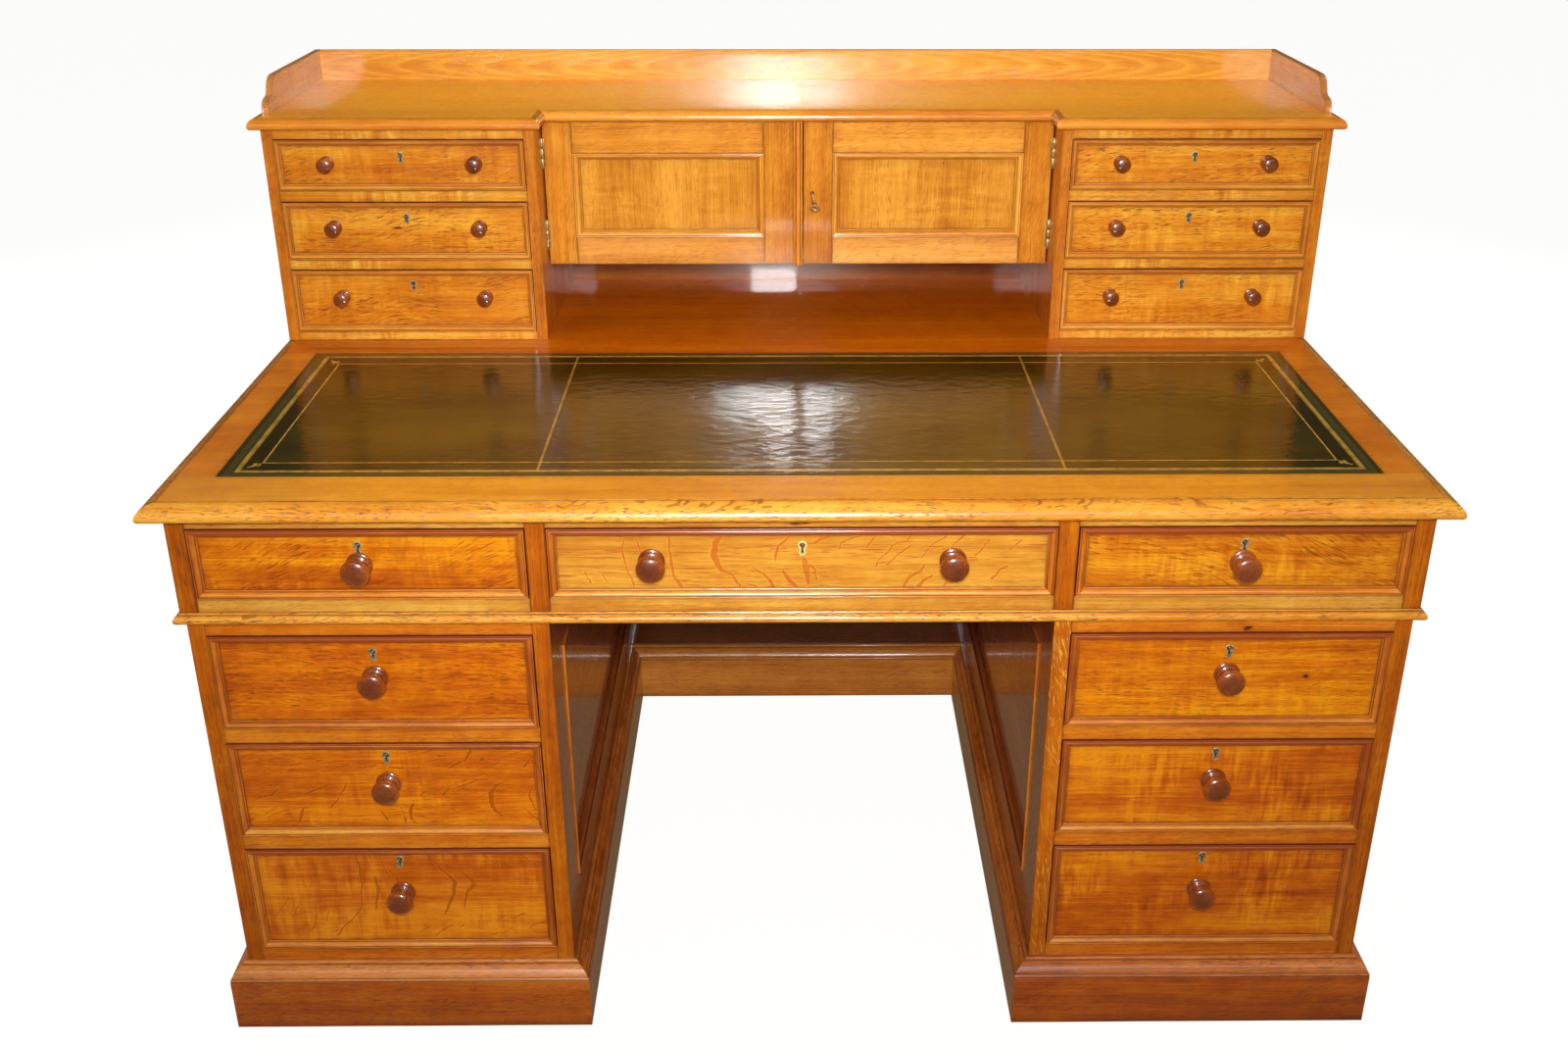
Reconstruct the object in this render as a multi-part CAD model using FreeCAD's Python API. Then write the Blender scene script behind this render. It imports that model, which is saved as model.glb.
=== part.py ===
import FreeCAD, Part
import os
import math

# ---------------------------------------------------------------- sizes (mm)
# X right, Z up; y below is measured back from the front edge of the writing
# top and is shifted by Y_MID on export so that the part is centred.
TOP_W = 1524.0            # writing top over its moulded edges
TOP_D = 925.0             # writing top, front edge to back edge
TOP_Z = 767.0             # writing height
TOP_T = 21.0
EDGE_W = 22.0             # width of the moulded edge
KNOB_L = 31.5             # large knob, field to face
KNOB_S = 22.0             # small knob

FR_W = 1477.0             # frieze over its ends
FR_Y = 23.0               # frieze face
FR_Z0 = 620.0
FR_END_T = 23.0
FR_STILE0, FR_STILE1 = 299.0, 322.6   # stile between the drawers
FR_OPEN = (637.8, 729.9)
BACK_Y = 905.0            # back of the lower carcass
BACK_T = 12.0

WAIST_Z0 = 606.0
WAIST_OUT = 7.5
WAIST_IN = 30.0

PED_OUT, PED_IN = 734.3, 302.6        # half widths, outer and kneehole faces
PED_Y = 26.6
PED_T = 20.6              # thickness of a pedestal side
PED_Z0 = 12.0
PED_OPEN = ((455.5, 587.0), (296.2, 435.4), (115.5, 275.6))
RAIL_D = 24.0             # depth of the front rails
STILE_W = 88.4            # stiles of the framed sides
SIDE_RAIL_Z = (169.0, 522.0)          # sight size of the side panels
SIDE_PANEL_SUNK, SIDE_PANEL_T = 8.0, 8.0

PLINTH_OUT = 21.0
PLINTH_SH = 77.0          # shoulder below the plinth moulding
PLINTH_Z = 98.0
KNEE_Y = 872.0            # face of the kneehole back panel
KNEE_T = 18.0

UP_W = 1502.0             # superstructure over its sides
UP_Y = 599.0              # face of the wings
DOOR_Y = 661.0            # face of the doors
UP_BACK = 921.0
UP_BACK_T = 10.0
UP_Z1 = 1075.0
UP_TOP_T = 15.0
UP_OVER = 14.0
WING_OUT_T, WING_IN = 15.0, 370.0     # outer side thickness, inner side face
WING_IN_T = 15.2
WING_OPEN = ((988.1, 1060.2), (888.0, 972.3), (779.9, 873.3))
WING_RAIL_D = 21.0
GAL_H, GAL_T, GAL_X = 45.0, 10.0, 753.0

DOOR_Z = (863.5, 1073.0)
DOOR_T = 20.0
DOOR_EDGE = 367.8
DOOR_MEET_L, DOOR_MEET_R = -6.4, 7.6
DOOR_SIGHT_X = (50.2, 326.6)
DOOR_SIGHT_Z = (904.4, 1027.5)
PIN_X, PIN_Y = 369.0, 658.0
HINGE_L = 42.0
HINGE_Z = (909.0, 1028.0)
KNUCKLE_R, PIN_R, LEAF_T = 2.5, 1.0, 1.2

LEATHER_X = 695.0
LEATHER_Y = (90.0, 537.0)
LEATHER_T = 1.2

KEY_X, KEY_Z = 20.7, 969.2
KEY_TILT, KEY_LEAN = math.radians(12.0), math.radians(3.5)

Y_MID = (TOP_D + (FR_Y + 3.5 - KNOB_L)) / 2.0

V = FreeCAD.Vector
NODES = {}
KEY_DIR = V(math.sin(KEY_LEAN), -math.cos(KEY_TILT), -math.sin(KEY_TILT)).normalize()
KEY_BASE = V(KEY_X, DOOR_Y, KEY_Z)    # where the key's axis meets the door's face


def add(node, *shapes):
    NODES.setdefault(node, []).extend(shapes)


# ------------------------------------------------------------------- helpers
def box(x0, x1, y0, y1, z0, z1):
    x0, x1 = min(x0, x1), max(x0, x1)
    y0, y1 = min(y0, y1), max(y0, y1)
    return Part.makeBox(x1 - x0, y1 - y0, z1 - z0, V(x0, y0, z0))


def face(points):
    return Part.Face(Part.makePolygon(list(points) + [points[0]]))


def loft(a, b):
    """Solid between two polygons with matching corners."""
    n = len(a)
    faces = [face(a), face(b)]
    for i in range(n):
        j = (i + 1) % n
        faces.append(face([a[i], a[j], b[j], b[i]]))
    solid = Part.Solid(Part.Shell(faces))
    if solid.Volume < 0:
        solid = solid.reversed()
    return solid


def bar(profile, a, b, out, up, ma=0.0, mb=0.0):
    """Moulding from a to b. profile: (out, up) corners; ma and mb move the
    two ends along the run by that much per millimetre of out."""
    a, b, out, up = V(*a), V(*b), V(*out), V(*up)
    t = (b - a).normalize()
    pa = [a + out * o + up * u + t * (ma * o) for o, u in profile]
    pb = [b + out * o + up * u + t * (mb * o) for o, u in profile]
    return loft(pa, pb)


def turned(profile, centre, axis):
    """Body of revolution; profile: (distance along the axis, radius)."""
    pts = [V(r, 0, d) for d, r in profile]
    f = face(pts)
    s = f.revolve(V(0, 0, 0), V(0, 0, 1), 360)
    s = Part.Solid(s) if s.ShapeType != "Solid" else s
    rot = FreeCAD.Rotation(V(0, 0, 1), V(*axis))
    s.Placement = FreeCAD.Placement(V(*centre), rot)
    if s.Volume < 0:
        s = s.reversed()
    return s


def cyl(r, h, centre, axis):
    return Part.makeCylinder(r, h, V(*centre), V(*axis))


def mirror(shape):
    return shape.mirror(V(0, 0, 0), V(1, 0, 0))


def frame_mould(profile, x0, x1, z0, z1, y):
    """Four mitred mouldings round an opening in a plane that faces -Y; the
    profile runs inward from the edge of the opening and forward from y."""
    up = (0, -1, 0)
    return [
        bar(profile, (x0, y, z0), (x1, y, z0), (0, 0, 1), up, 1, -1),
        bar(profile, (x0, y, z1), (x1, y, z1), (0, 0, -1), up, 1, -1),
        bar(profile, (x0, y, z0), (x0, y, z1), (1, 0, 0), up, 1, -1),
        bar(profile, (x1, y, z0), (x1, y, z1), (-1, 0, 0), up, 1, -1),
    ]


def keyhole(x, z, r, w, drop, y0, y1):
    """Keyhole prism: round head, straight slot, round foot."""
    s = cyl(r, y1 - y0, (x, y0, z), (0, 1, 0))
    s = s.fuse(box(x - w, x + w, y0, y1, z - drop, z))
    s = s.fuse(cyl(w, y1 - y0, (x, y0, z - drop), (0, 1, 0)))
    return s.removeSplitter()


# ------------------------------------------------------------ drawer builder
FIELD = 3.5               # the field lies behind the rails by this much
MOULD_H = 6.0
LARGE_MOULD = [(0, 0), (0, MOULD_H), (2.4, MOULD_H), (5.2, 5.1), (8.0, 3.2),
               (10.5, 1.0), (10.5, 0)]
SMALL_MOULD = [(0, 0), (0, MOULD_H), (1.9, MOULD_H), (4.1, 5.1), (6.3, 3.2),
               (8.2, 1.0), (8.2, 0)]
LARGE_KNOB = [(-14, 0), (-14, 5), (0, 5), (0, 15.6), (1.6, 16.2), (3.6, 15.6),
              (5.0, 12.6), (6.6, 11.6), (8.2, 9.4), (12.5, 8.6), (16.5, 10.2),
              (19.6, 14.4), (22.2, 16.8), (24.6, 17.0), (27.2, 15.4),
              (29.8, 11.0), (31.2, 5.0), (KNOB_L, 0)]
SMALL_KNOB = [(-10, 0), (-10, 3.5), (0, 3.5), (0, 9.4), (1.2, 9.8), (2.6, 9.2),
              (3.6, 7.4), (4.8, 7.0), (6.0, 5.8), (8.8, 5.4), (11.4, 6.6),
              (13.6, 9.4), (15.4, 11.0), (17.0, 11.2), (19.0, 10.0),
              (20.8, 7.0), (21.7, 3.2), (KNOB_S, 0)]


def drawer(name, x0, x1, opening, y_face, length, knob_x, knob_z, key_z, large,
           gap=1.2):
    dz0, dz1 = opening[0] + 0.8, opening[1] - 1.2
    fx0, fx1 = x0 + gap, x1 - gap
    fy = y_face + FIELD
    back = y_face + (22.0 if large else 18.0)
    ts, tb = (11.0, 6.0) if large else (8.0, 5.0)
    node = name + "_drawer"
    spigot, depth = (5.0, 14.0) if large else (3.5, 10.0)
    mid = (fx0 + fx1) / 2.0
    front = box(fx0, fx1, fy, back, dz0, dz1)
    for kx in knob_x:
        front = front.cut(cyl(spigot, depth, (mid + kx, fy, knob_z), (0, 1, 0)))
    r, w, drop = (5.0, 3.2, 9.0) if large else (4.2, 2.7, 7.0)
    t = 1.4
    outer = keyhole(mid, key_z, r, w, drop, fy, fy + 3.0)
    inner = keyhole(mid, key_z, r - t, w - t, drop, fy - 1.0, back + 1.0)
    lock = box(mid - 22, mid + 22, back - 8.0, back, key_z - 19, key_z + 9)
    front = front.cut(outer).cut(inner).cut(lock)
    add(node, front)
    profile = LARGE_MOULD if large else SMALL_MOULD
    add(node, *frame_mould(profile, fx0, fx1, dz0, dz1, fy))
    # box behind the front
    bx0, bx1 = fx0 + 0.6, fx1 - 0.6
    sz0, sz1 = opening[0] + 0.5, dz1 - (7.0 if large else 5.0)
    end = y_face + length
    add(node, box(bx0, bx0 + ts, back, end, sz0, sz1))
    add(node, box(bx1 - ts, bx1, back, end, sz0, sz1))
    add(node, box(bx0 + ts, bx1 - ts, end - ts, end, sz0 + 9.0 + tb, sz1))
    add(node, box(bx0 + ts, bx1 - ts, back, end, sz0 + 9.0, sz0 + 9.0 + tb))
    for kx in knob_x:
        add(node, turned(LARGE_KNOB if large else SMALL_KNOB,
                         (mid + kx, fy, knob_z), (0, -1, 0)))
    add(name + "_lock", outer.cut(inner), lock)


PIX = (PED_IN + PED_T, PED_OUT - PED_T)          # pedestal opening, half side
WIX = (WING_IN + WING_IN_T, UP_W / 2 - WING_OUT_T)

for side, s in (("left", -1), ("right", 1)):
    for i, (op, kz, hz) in enumerate(zip(
            WING_OPEN, (1026.0, 934.5, 831.5), (1037.5, 950.5, 852.0))):
        a, b = sorted((s * WIX[0], s * WIX[1]))
        drawer("%s_wing_%d" % (side, i + 1), a, b, op, UP_Y, 298.0,
               (-104.0, 104.0), kz, hz, False, 0.9)
    for i, (op, kz, hz) in enumerate(zip(
            PED_OPEN, (528.0, 374.5, 204.5), (562.5, 415.0, 256.0))):
        a, b = sorted((s * PIX[0], s * PIX[1]))
        drawer("%s_pedestal_%d" % (side, i + 1), a, b, op, PED_Y, 690.0,
               (0.0,), kz, hz, True)
    a, b = sorted((s * FR_STILE1, s * (FR_W / 2 - FR_END_T)))
    drawer("%s_frieze" % side, a, b, FR_OPEN, FR_Y, 640.0, (0.0,), 682.0,
           707.0, True)
drawer("centre_frieze", -FR_STILE0, FR_STILE0, FR_OPEN, FR_Y, 640.0,
       (-177.0, 177.0), 685.5, 705.0, True)

# --------------------------------------------------------------- writing top
H = TOP_W / 2
top = box(-H + EDGE_W, H - EDGE_W, EDGE_W, TOP_D, TOP_Z - TOP_T, TOP_Z)
leather = box(-LEATHER_X, LEATHER_X, LEATHER_Y[0], LEATHER_Y[1],
              TOP_Z - LEATHER_T, TOP_Z)
add("writing_top", top.cut(leather))
EDGE = [(0, -TOP_T), (0, 0), (1.5, -0.8), (8, -2.0), (14, -4.4), (18.5, -7.6),
        (21.2, -11.4), (EDGE_W, -14.6), (21.4, -17.8), (19.0, -20.2),
        (15.0, -TOP_T)]
ex, ey = H - EDGE_W, EDGE_W
add("writing_top",
    bar(EDGE, (-ex, ey, TOP_Z), (ex, ey, TOP_Z), (0, -1, 0), (0, 0, 1), -1, 1),
    bar(EDGE, (-ex, ey, TOP_Z), (-ex, TOP_D, TOP_Z), (-1, 0, 0), (0, 0, 1), -1, 0),
    bar(EDGE, (ex, ey, TOP_Z), (ex, TOP_D, TOP_Z), (1, 0, 0), (0, 0, 1), -1, 0))
add("leather_inset", leather)

# ------------------------------------------------------------ frieze section
fz1 = TOP_Z - TOP_T
fx = FR_W / 2
for s in (-1, 1):
    add("frieze_ends", box(s * (fx - FR_END_T), s * fx, FR_Y, BACK_Y, FR_Z0, fz1))
    add("frieze_rails", box(s * FR_STILE0, s * FR_STILE1, FR_Y, FR_Y + RAIL_D,
                            FR_Z0, fz1))
spans = ((-(fx - FR_END_T), -FR_STILE1), (-FR_STILE0, FR_STILE0),
         (FR_STILE1, fx - FR_END_T))
for a, b in spans:
    add("frieze_rails", box(a, b, FR_Y, FR_Y + RAIL_D, FR_Z0, FR_OPEN[0]))
    add("frieze_rails", box(a, b, FR_Y, FR_Y + RAIL_D, FR_OPEN[1], fz1))
    y0, y1 = FR_Y + RAIL_D, BACK_Y - BACK_T
    for x0, x1 in ((a, a + 24), (b - 24, b)):
        add("frieze_interior", box(x0, x1, y0, y1, FR_Z0, FR_OPEN[0]))
for s in (-1, 1):
    add("frieze_interior", box(s * FR_STILE0, s * FR_STILE1, FR_Y + RAIL_D,
                               BACK_Y - BACK_T, FR_Z0, fz1))
wx = fx - WAIST_IN
wy = FR_Y + WAIST_IN
cuts = (-wx, -FR_STILE0, FR_STILE0, wx)
for a, b in zip(cuts[:-1], cuts[1:]):
    add("frieze_interior", box(a, b, wy, BACK_Y - 20, WAIST_Z0 + 2, FR_Z0))
add("case_backs", box(-(fx - FR_END_T), fx - FR_END_T, BACK_Y - BACK_T, BACK_Y,
                      FR_Z0, fz1))
add("case_backs", box(-wx, wx, BACK_Y - 20, BACK_Y, WAIST_Z0, FR_Z0))

WAIST_H = FR_Z0 - WAIST_Z0
WAIST = [(0, 0), (0, WAIST_H), (WAIST_IN + 0.8, WAIST_H),
         (WAIST_IN + 2.6, 13.2), (WAIST_IN + 5.6, 10.4), (WAIST_IN + 7.1, 7.6),
         (WAIST_IN + WAIST_OUT, 5.0), (WAIST_IN + 7.0, 2.0),
         (WAIST_IN + 5.6, 0)]
add("waist_moulding",
    bar(WAIST, (-wx, wy, WAIST_Z0), (wx, wy, WAIST_Z0), (0, -1, 0), (0, 0, 1), -1, 1),
    bar(WAIST, (-wx, wy, WAIST_Z0), (-wx, BACK_Y, WAIST_Z0), (-1, 0, 0), (0, 0, 1), -1, 0),
    bar(WAIST, (wx, wy, WAIST_Z0), (wx, BACK_Y, WAIST_Z0), (1, 0, 0), (0, 0, 1), -1, 0))

# ----------------------------------------------------------------- pedestals
SIDE_MOULD = [(0, 0), (0, SIDE_PANEL_SUNK), (1.8, SIDE_PANEL_SUNK), (5.0, 6.6),
              (8.4, 3.8), (11.0, 1.0), (11.0, 0)]


def framed_side(x_face, n):
    """Pedestal side whose show face is x_face and looks along n (+1 or -1)."""
    x_in = x_face - n * PED_T
    ya, yb = PED_Y + STILE_W, BACK_Y - STILE_W
    za, zb = SIDE_RAIL_Z
    px0 = x_face - n * SIDE_PANEL_SUNK
    px1 = px0 - n * SIDE_PANEL_T
    out = [
        box(x_in, x_face, PED_Y, ya, PED_Z0, WAIST_Z0),
        box(x_in, x_face, yb, BACK_Y, PED_Z0, WAIST_Z0),
        box(x_in, x_face, ya, yb, PED_Z0, za),
        box(x_in, x_face, ya, yb, zb, WAIST_Z0),
        box(px0, px1, ya, yb, za, zb),
    ]
    up = (n, 0, 0)
    for a, b, o in (((px0, ya, za), (px0, yb, za), (0, 0, 1)),
                    ((px0, ya, zb), (px0, yb, zb), (0, 0, -1)),
                    ((px0, ya, za), (px0, ya, zb), (0, 1, 0)),
                    ((px0, yb, za), (px0, yb, zb), (0, -1, 0))):
        out.append(bar(SIDE_MOULD, a, b, o, up, 1, -1))
    return out


for side, s in (("left", -1), ("right", 1)):
    add(side + "_pedestal_sides", *framed_side(s * PED_OUT, s))
    add(side + "_pedestal_sides", *framed_side(s * PED_IN, -s))
    a, b = sorted((s * PIX[0], s * PIX[1]))
    levels = ((PED_OPEN[0][1], WAIST_Z0), (PED_OPEN[1][1], PED_OPEN[0][0]),
              (PED_OPEN[2][1], PED_OPEN[1][0]), (80.0, PED_OPEN[2][0]))
    for z0, z1 in levels:
        add(side + "_pedestal_rails", box(a, b, PED_Y, PED_Y + RAIL_D, z0, z1))
    y0, y1 = PED_Y + RAIL_D, BACK_Y - BACK_T
    for k, (z0, z1) in enumerate(levels):
        lo = max(z0, z1 - 20.0)
        add("pedestal_runners", box(a, a + 22, y0, y1, lo, z1),
            box(b - 22, b, y0, y1, lo, z1),
            box(a + 22, b - 22, y0, y1, z1 - 14.0, z1 - 8.0))
    add("case_backs", box(a, b, BACK_Y - BACK_T, BACK_Y, PED_Z0, WAIST_Z0))

add("kneehole_back", box(-PED_IN, PED_IN, KNEE_Y, KNEE_Y + KNEE_T, PED_Z0, WAIST_Z0))

# ------------------------------------------------------------------- plinths
P = PLINTH_OUT
PLINTH = [(0, 0), (P, 0), (P, PLINTH_SH), (P - 1.0, 79.5), (P - 3.5, 83.5),
          (P - 7.5, 88.0), (P - 12.5, 92.5), (P - 18.0, 96.5), (0, PLINTH_Z)]
UPZ = (0, 0, 1)
for side, s in (("left", -1), ("right", 1)):
    xo, xi = s * PED_OUT, s * PED_IN
    a, b = sorted((xo, xi))
    add(side + "_plinth",
        bar(PLINTH, (a, PED_Y, 0), (b, PED_Y, 0), (0, -1, 0), UPZ, -1, 1),
        bar(PLINTH, (xo, PED_Y, 0), (xo, BACK_Y, 0), (s, 0, 0), UPZ, -1, 0),
        bar(PLINTH, (xi, PED_Y, 0), (xi, KNEE_Y, 0), (-s, 0, 0), UPZ, -1, -1))
add("rear_plinth",
    bar(PLINTH, (-PED_IN, KNEE_Y, 0), (PED_IN, KNEE_Y, 0), (0, -1, 0), UPZ, 1, -1))

# ------------------------------------------------------------ superstructure
ux = UP_W / 2
yb = UP_BACK - UP_BACK_T
for side, s in (("left", -1), ("right", 1)):
    add("upper_sides", box(s * (ux - WING_OUT_T), s * ux, UP_Y, UP_BACK, TOP_Z, UP_Z1))
    inner = box(s * WING_IN, s * (WING_IN + WING_IN_T), UP_Y, UP_BACK, TOP_Z, UP_Z1)
    for hz in HINGE_Z:
        inner = inner.cut(box(s * WING_IN, s * (PIN_X + KNUCKLE_R + 0.2),
                              PIN_Y - KNUCKLE_R - 0.5, 680.5,
                              hz - HINGE_L / 2 - 0.2, hz + HINGE_L / 2 + 0.2))
    add("upper_sides", inner)
    a, b = sorted((s * WIX[0], s * WIX[1]))
    levels = ((WING_OPEN[0][1], UP_Z1), (WING_OPEN[1][1], WING_OPEN[0][0]),
              (WING_OPEN[2][1], WING_OPEN[1][0]), (TOP_Z, WING_OPEN[2][0]))
    for z0, z1 in levels:
        add("upper_rails", box(a, b, UP_Y, UP_Y + WING_RAIL_D, z0, z1))
    for z0, z1 in levels[1:]:
        add("upper_boards", box(a, b, UP_Y + WING_RAIL_D, yb, z1 - 8.0, z1))
    add("upper_back", box(a, b, yb, UP_BACK, TOP_Z, UP_Z1))
add("upper_back", box(-WING_IN, WING_IN, yb, UP_BACK, TOP_Z, UP_Z1))
add("upper_boards", box(-WING_IN, WING_IN, DOOR_Y + DOOR_T + 2.0, yb, 866.0, 882.0))

# moulded top: a flat board between the gallery's boards, its front parts over
# the wings, and mitred edge mouldings
E = 12.0                                  # width of the edge moulding
TOP_EDGE = [(0, 0), (0, UP_TOP_T), (2.0, 14.6), (6.0, 13.4), (9.4, 11.0),
            (11.4, 7.6), (E, 4.4), (11.2, 1.4), (9.6, 0)]
tx = ux + UP_OVER - E                     # flat part, half width
ix = WING_IN - UP_OVER + 4.0 + E          # flat part of a wing, inner edge
wyf = UP_Y - UP_OVER + E                  # flat part, front of the wings
cyf = DOOR_Y - UP_OVER + E                # flat part, front of the centre
gi, gb, gf = GAL_X - GAL_T, UP_BACK - 12.0, 625.0   # inside and front of the gallery
add("upper_top", box(-gi, gi, cyf, gb, UP_Z1, UP_Z1 + UP_TOP_T))
for s in (-1, 1):
    add("upper_top",
        box(s * ix, s * gi, wyf, cyf, UP_Z1, UP_Z1 + UP_TOP_T),
        box(s * gi, s * tx, wyf, gf, UP_Z1, UP_Z1 + UP_TOP_T))
for s in (-1, 1):
    a, b = sorted((s * ix, s * tx))
    add("upper_top",
        bar(TOP_EDGE, (a, wyf, UP_Z1), (b, wyf, UP_Z1), (0, -1, 0), UPZ, -1, 1),
        bar(TOP_EDGE, (s * tx, wyf, UP_Z1), (s * tx, UP_BACK, UP_Z1), (s, 0, 0), UPZ, -1, 0),
        bar(TOP_EDGE, (s * ix, wyf, UP_Z1), (s * ix, cyf, UP_Z1), (-s, 0, 0), UPZ, -1, -1))
add("upper_top",
    bar(TOP_EDGE, (-ix, cyf, UP_Z1), (ix, cyf, UP_Z1), (0, -1, 0), UPZ, 1, -1))

# gallery: its boards stand on the carcass round the flat of the moulded top
gz = UP_Z1 + UP_TOP_T
add("gallery", box(-gi, gi, gb, UP_BACK, UP_Z1, gz + GAL_H))
END = [(UP_BACK, -UP_TOP_T), (UP_BACK, GAL_H), (684, GAL_H), (674, 44.0), (666, 40.5),
       (660, 34.5), (656.5, 27.0), (653.5, 22.5), (648, 19.8), (641, 18.6),
       (634, 17.0), (629, 13.0), (626, 7.5), (gf, 0), (gf, -UP_TOP_T)]
for s in (-1, 1):
    x0, x1 = s * (GAL_X - GAL_T), s * GAL_X
    add("gallery", loft([V(x0, y, gz + z) for y, z in END],
                        [V(x1, y, gz + z) for y, z in END]))

# --------------------------------------------------------------------- doors
DOOR_MOULD = [(0, 0), (0, 9.4), (1.6, 9.8), (4.4, 9.2), (7.2, 6.4), (9.6, 2.4),
              (9.6, 0)]
sx0, sx1 = DOOR_SIGHT_X
sz0, sz1 = DOOR_SIGHT_Z
dz0, dz1 = DOOR_Z
y0, y1 = DOOR_Y, DOOR_Y + DOOR_T
for side, s in (("left", -1), ("right", 1)):
    node = side + "_door"
    meet = DOOR_MEET_L if s < 0 else DOOR_MEET_R
    outer = box(s * sx1, s * DOOR_EDGE, y0, y1, dz0, dz1)
    for hz in HINGE_Z:
        outer = outer.cut(box(s * (2 * PIN_X - PIN_X - KNUCKLE_R - 0.2),
                              s * (DOOR_EDGE + 1.0), y0 - 1.0, 680.5,
                              hz - HINGE_L / 2, hz + HINGE_L / 2))
    stile = box(meet, s * sx0, y0, y1, dz0, dz1)
    if s > 0:
        stile = stile.cut(Part.makeCylinder(2.9, 40, KEY_BASE - KEY_DIR * 30, KEY_DIR))
        stile = stile.cut(box(KEY_X - 1.3, KEY_X + 1.3, y0 - 1, y1 + 1,
                              KEY_Z - 10, KEY_Z))
    a, b = sorted((s * sx0, s * sx1))
    add(node, outer, stile,
        box(a, b, y0, y1, dz0, sz0), box(a, b, y0, y1, sz1, dz1),
        box(a, b, y0 + 7.0, y0 + 14.0, sz0, sz1))
    add(node, *frame_mould(DOOR_MOULD, a, b, sz0, sz1, y0 + 7.0))
bead = [(DOOR_MEET_L, y1), (DOOR_MEET_L, 659.8), (-3.6, 658.4), (-0.1, 657.5),
        (3.4, 658.4), (6.2, 659.8), (6.2, 676.0), (4.6, y1)]
add("left_door", loft([V(x, y, 860.0) for x, y in bead],
                      [V(x, y, dz1) for x, y in bead]))

# -------------------------------------------------------------------- hinges
lf = PIN_X + KNUCKLE_R                    # outer face of the fixed leaf
ld = PIN_X - KNUCKLE_R                    # outer face of the moving leaf
for side, s in (("left", -1), ("right", 1)):
    for hz in HINGE_Z:
        za, zb = hz - HINGE_L / 2, hz + HINGE_L / 2
        seg = HINGE_L / 3
        low, high = za + seg, zb - seg
        fixed = box(s * (lf - LEAF_T), s * lf, 661.2, 680.3, za, zb)
        for c0, c1 in ((za, low), (high, zb)):
            fixed = fixed.fuse(box(s * (lf - LEAF_T), s * lf, PIN_Y, 661.2, c0, c1))
            fixed = fixed.fuse(cyl(KNUCKLE_R, c1 - c0, (s * PIN_X, PIN_Y, c0), UPZ))
        fixed = fixed.cut(cyl(PIN_R, HINGE_L, (s * PIN_X, PIN_Y, za), UPZ))
        add("hinge_leaves", fixed.removeSplitter(),
            cyl(PIN_R, HINGE_L, (s * PIN_X, PIN_Y, za), UPZ))
        c0, c1 = low + 0.2, high - 0.2
        moving = box(s * ld, s * (ld + LEAF_T), 661.2, 680.3, za + 0.2, zb - 0.2)
        moving = moving.fuse(box(s * ld, s * (ld + LEAF_T), PIN_Y, 661.2, c0, c1))
        moving = moving.fuse(cyl(KNUCKLE_R, c1 - c0, (s * PIN_X, PIN_Y, c0), UPZ))
        moving = moving.cut(cyl(PIN_R + 0.06, c1 - c0 + 2, (s * PIN_X, PIN_Y, c0 - 1), UPZ))
        add(side + "_door_hinges", moving.removeSplitter())

# -------------------------------------------------------------- lock and key
lock = box(9.6, 46.0, y1, y1 + 12.0, 946.0, 1000.0)
lock = lock.cut(box(11.2, 44.4, y1 + 1.5, y1 + 10.5, 948.0, 998.0))
lock = lock.cut(Part.makeCylinder(2.6, 30, KEY_BASE - KEY_DIR * 26, KEY_DIR))
add("cupboard_lock", lock)
key = Part.makeCylinder(2.1, 69.0, KEY_BASE - KEY_DIR * 28.5, KEY_DIR)
key = key.fuse(Part.makeCylinder(4.0, 2.6, KEY_BASE + KEY_DIR * 35.0, KEY_DIR))
ring = []
for rx, ry in ((6.8, 8.6), (3.9, 5.5)):
    ring.append(face([V(rx * math.cos(k * math.pi / 16), ry * math.sin(k * math.pi / 16), -1.4)
                      for k in range(32)]).extrude(V(0, 0, 2.8)))
bow = ring[0].cut(ring[1])
bow.Placement = FreeCAD.Placement(KEY_BASE + KEY_DIR * 47.2,
                                  FreeCAD.Rotation(V(0, -1, 0), KEY_DIR))
bit = box(0, 7.6, -1.0, 1.0, 0, 3.5)
bit.Placement = FreeCAD.Placement(KEY_BASE - KEY_DIR * 28.5,
                                  FreeCAD.Rotation(V(0, 0, 1), KEY_DIR))
add("key", key.fuse(bow).fuse(bit).removeSplitter())

# -------------------------------------------------------------------- export
os.makedirs("parts", exist_ok=True)
for name, shapes in NODES.items():
    moved = []
    for sh in shapes:
        for solid in sh.Solids:
            c = solid.copy()
            c.translate(V(0, -Y_MID, 0))
            moved.append(c)
    shape = moved[0] if len(moved) == 1 else Part.makeCompound(moved)
    shape.exportStep("parts/%s.step" % name)
print(len(NODES), "nodes", sum(len(n) for n in NODES.values()), "solids", "Y_MID", Y_MID)
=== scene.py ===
import bpy
import bmesh
import math
import random
from mathutils import Matrix, Vector, noise
from mathutils.geometry import tessellate_polygon


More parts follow.
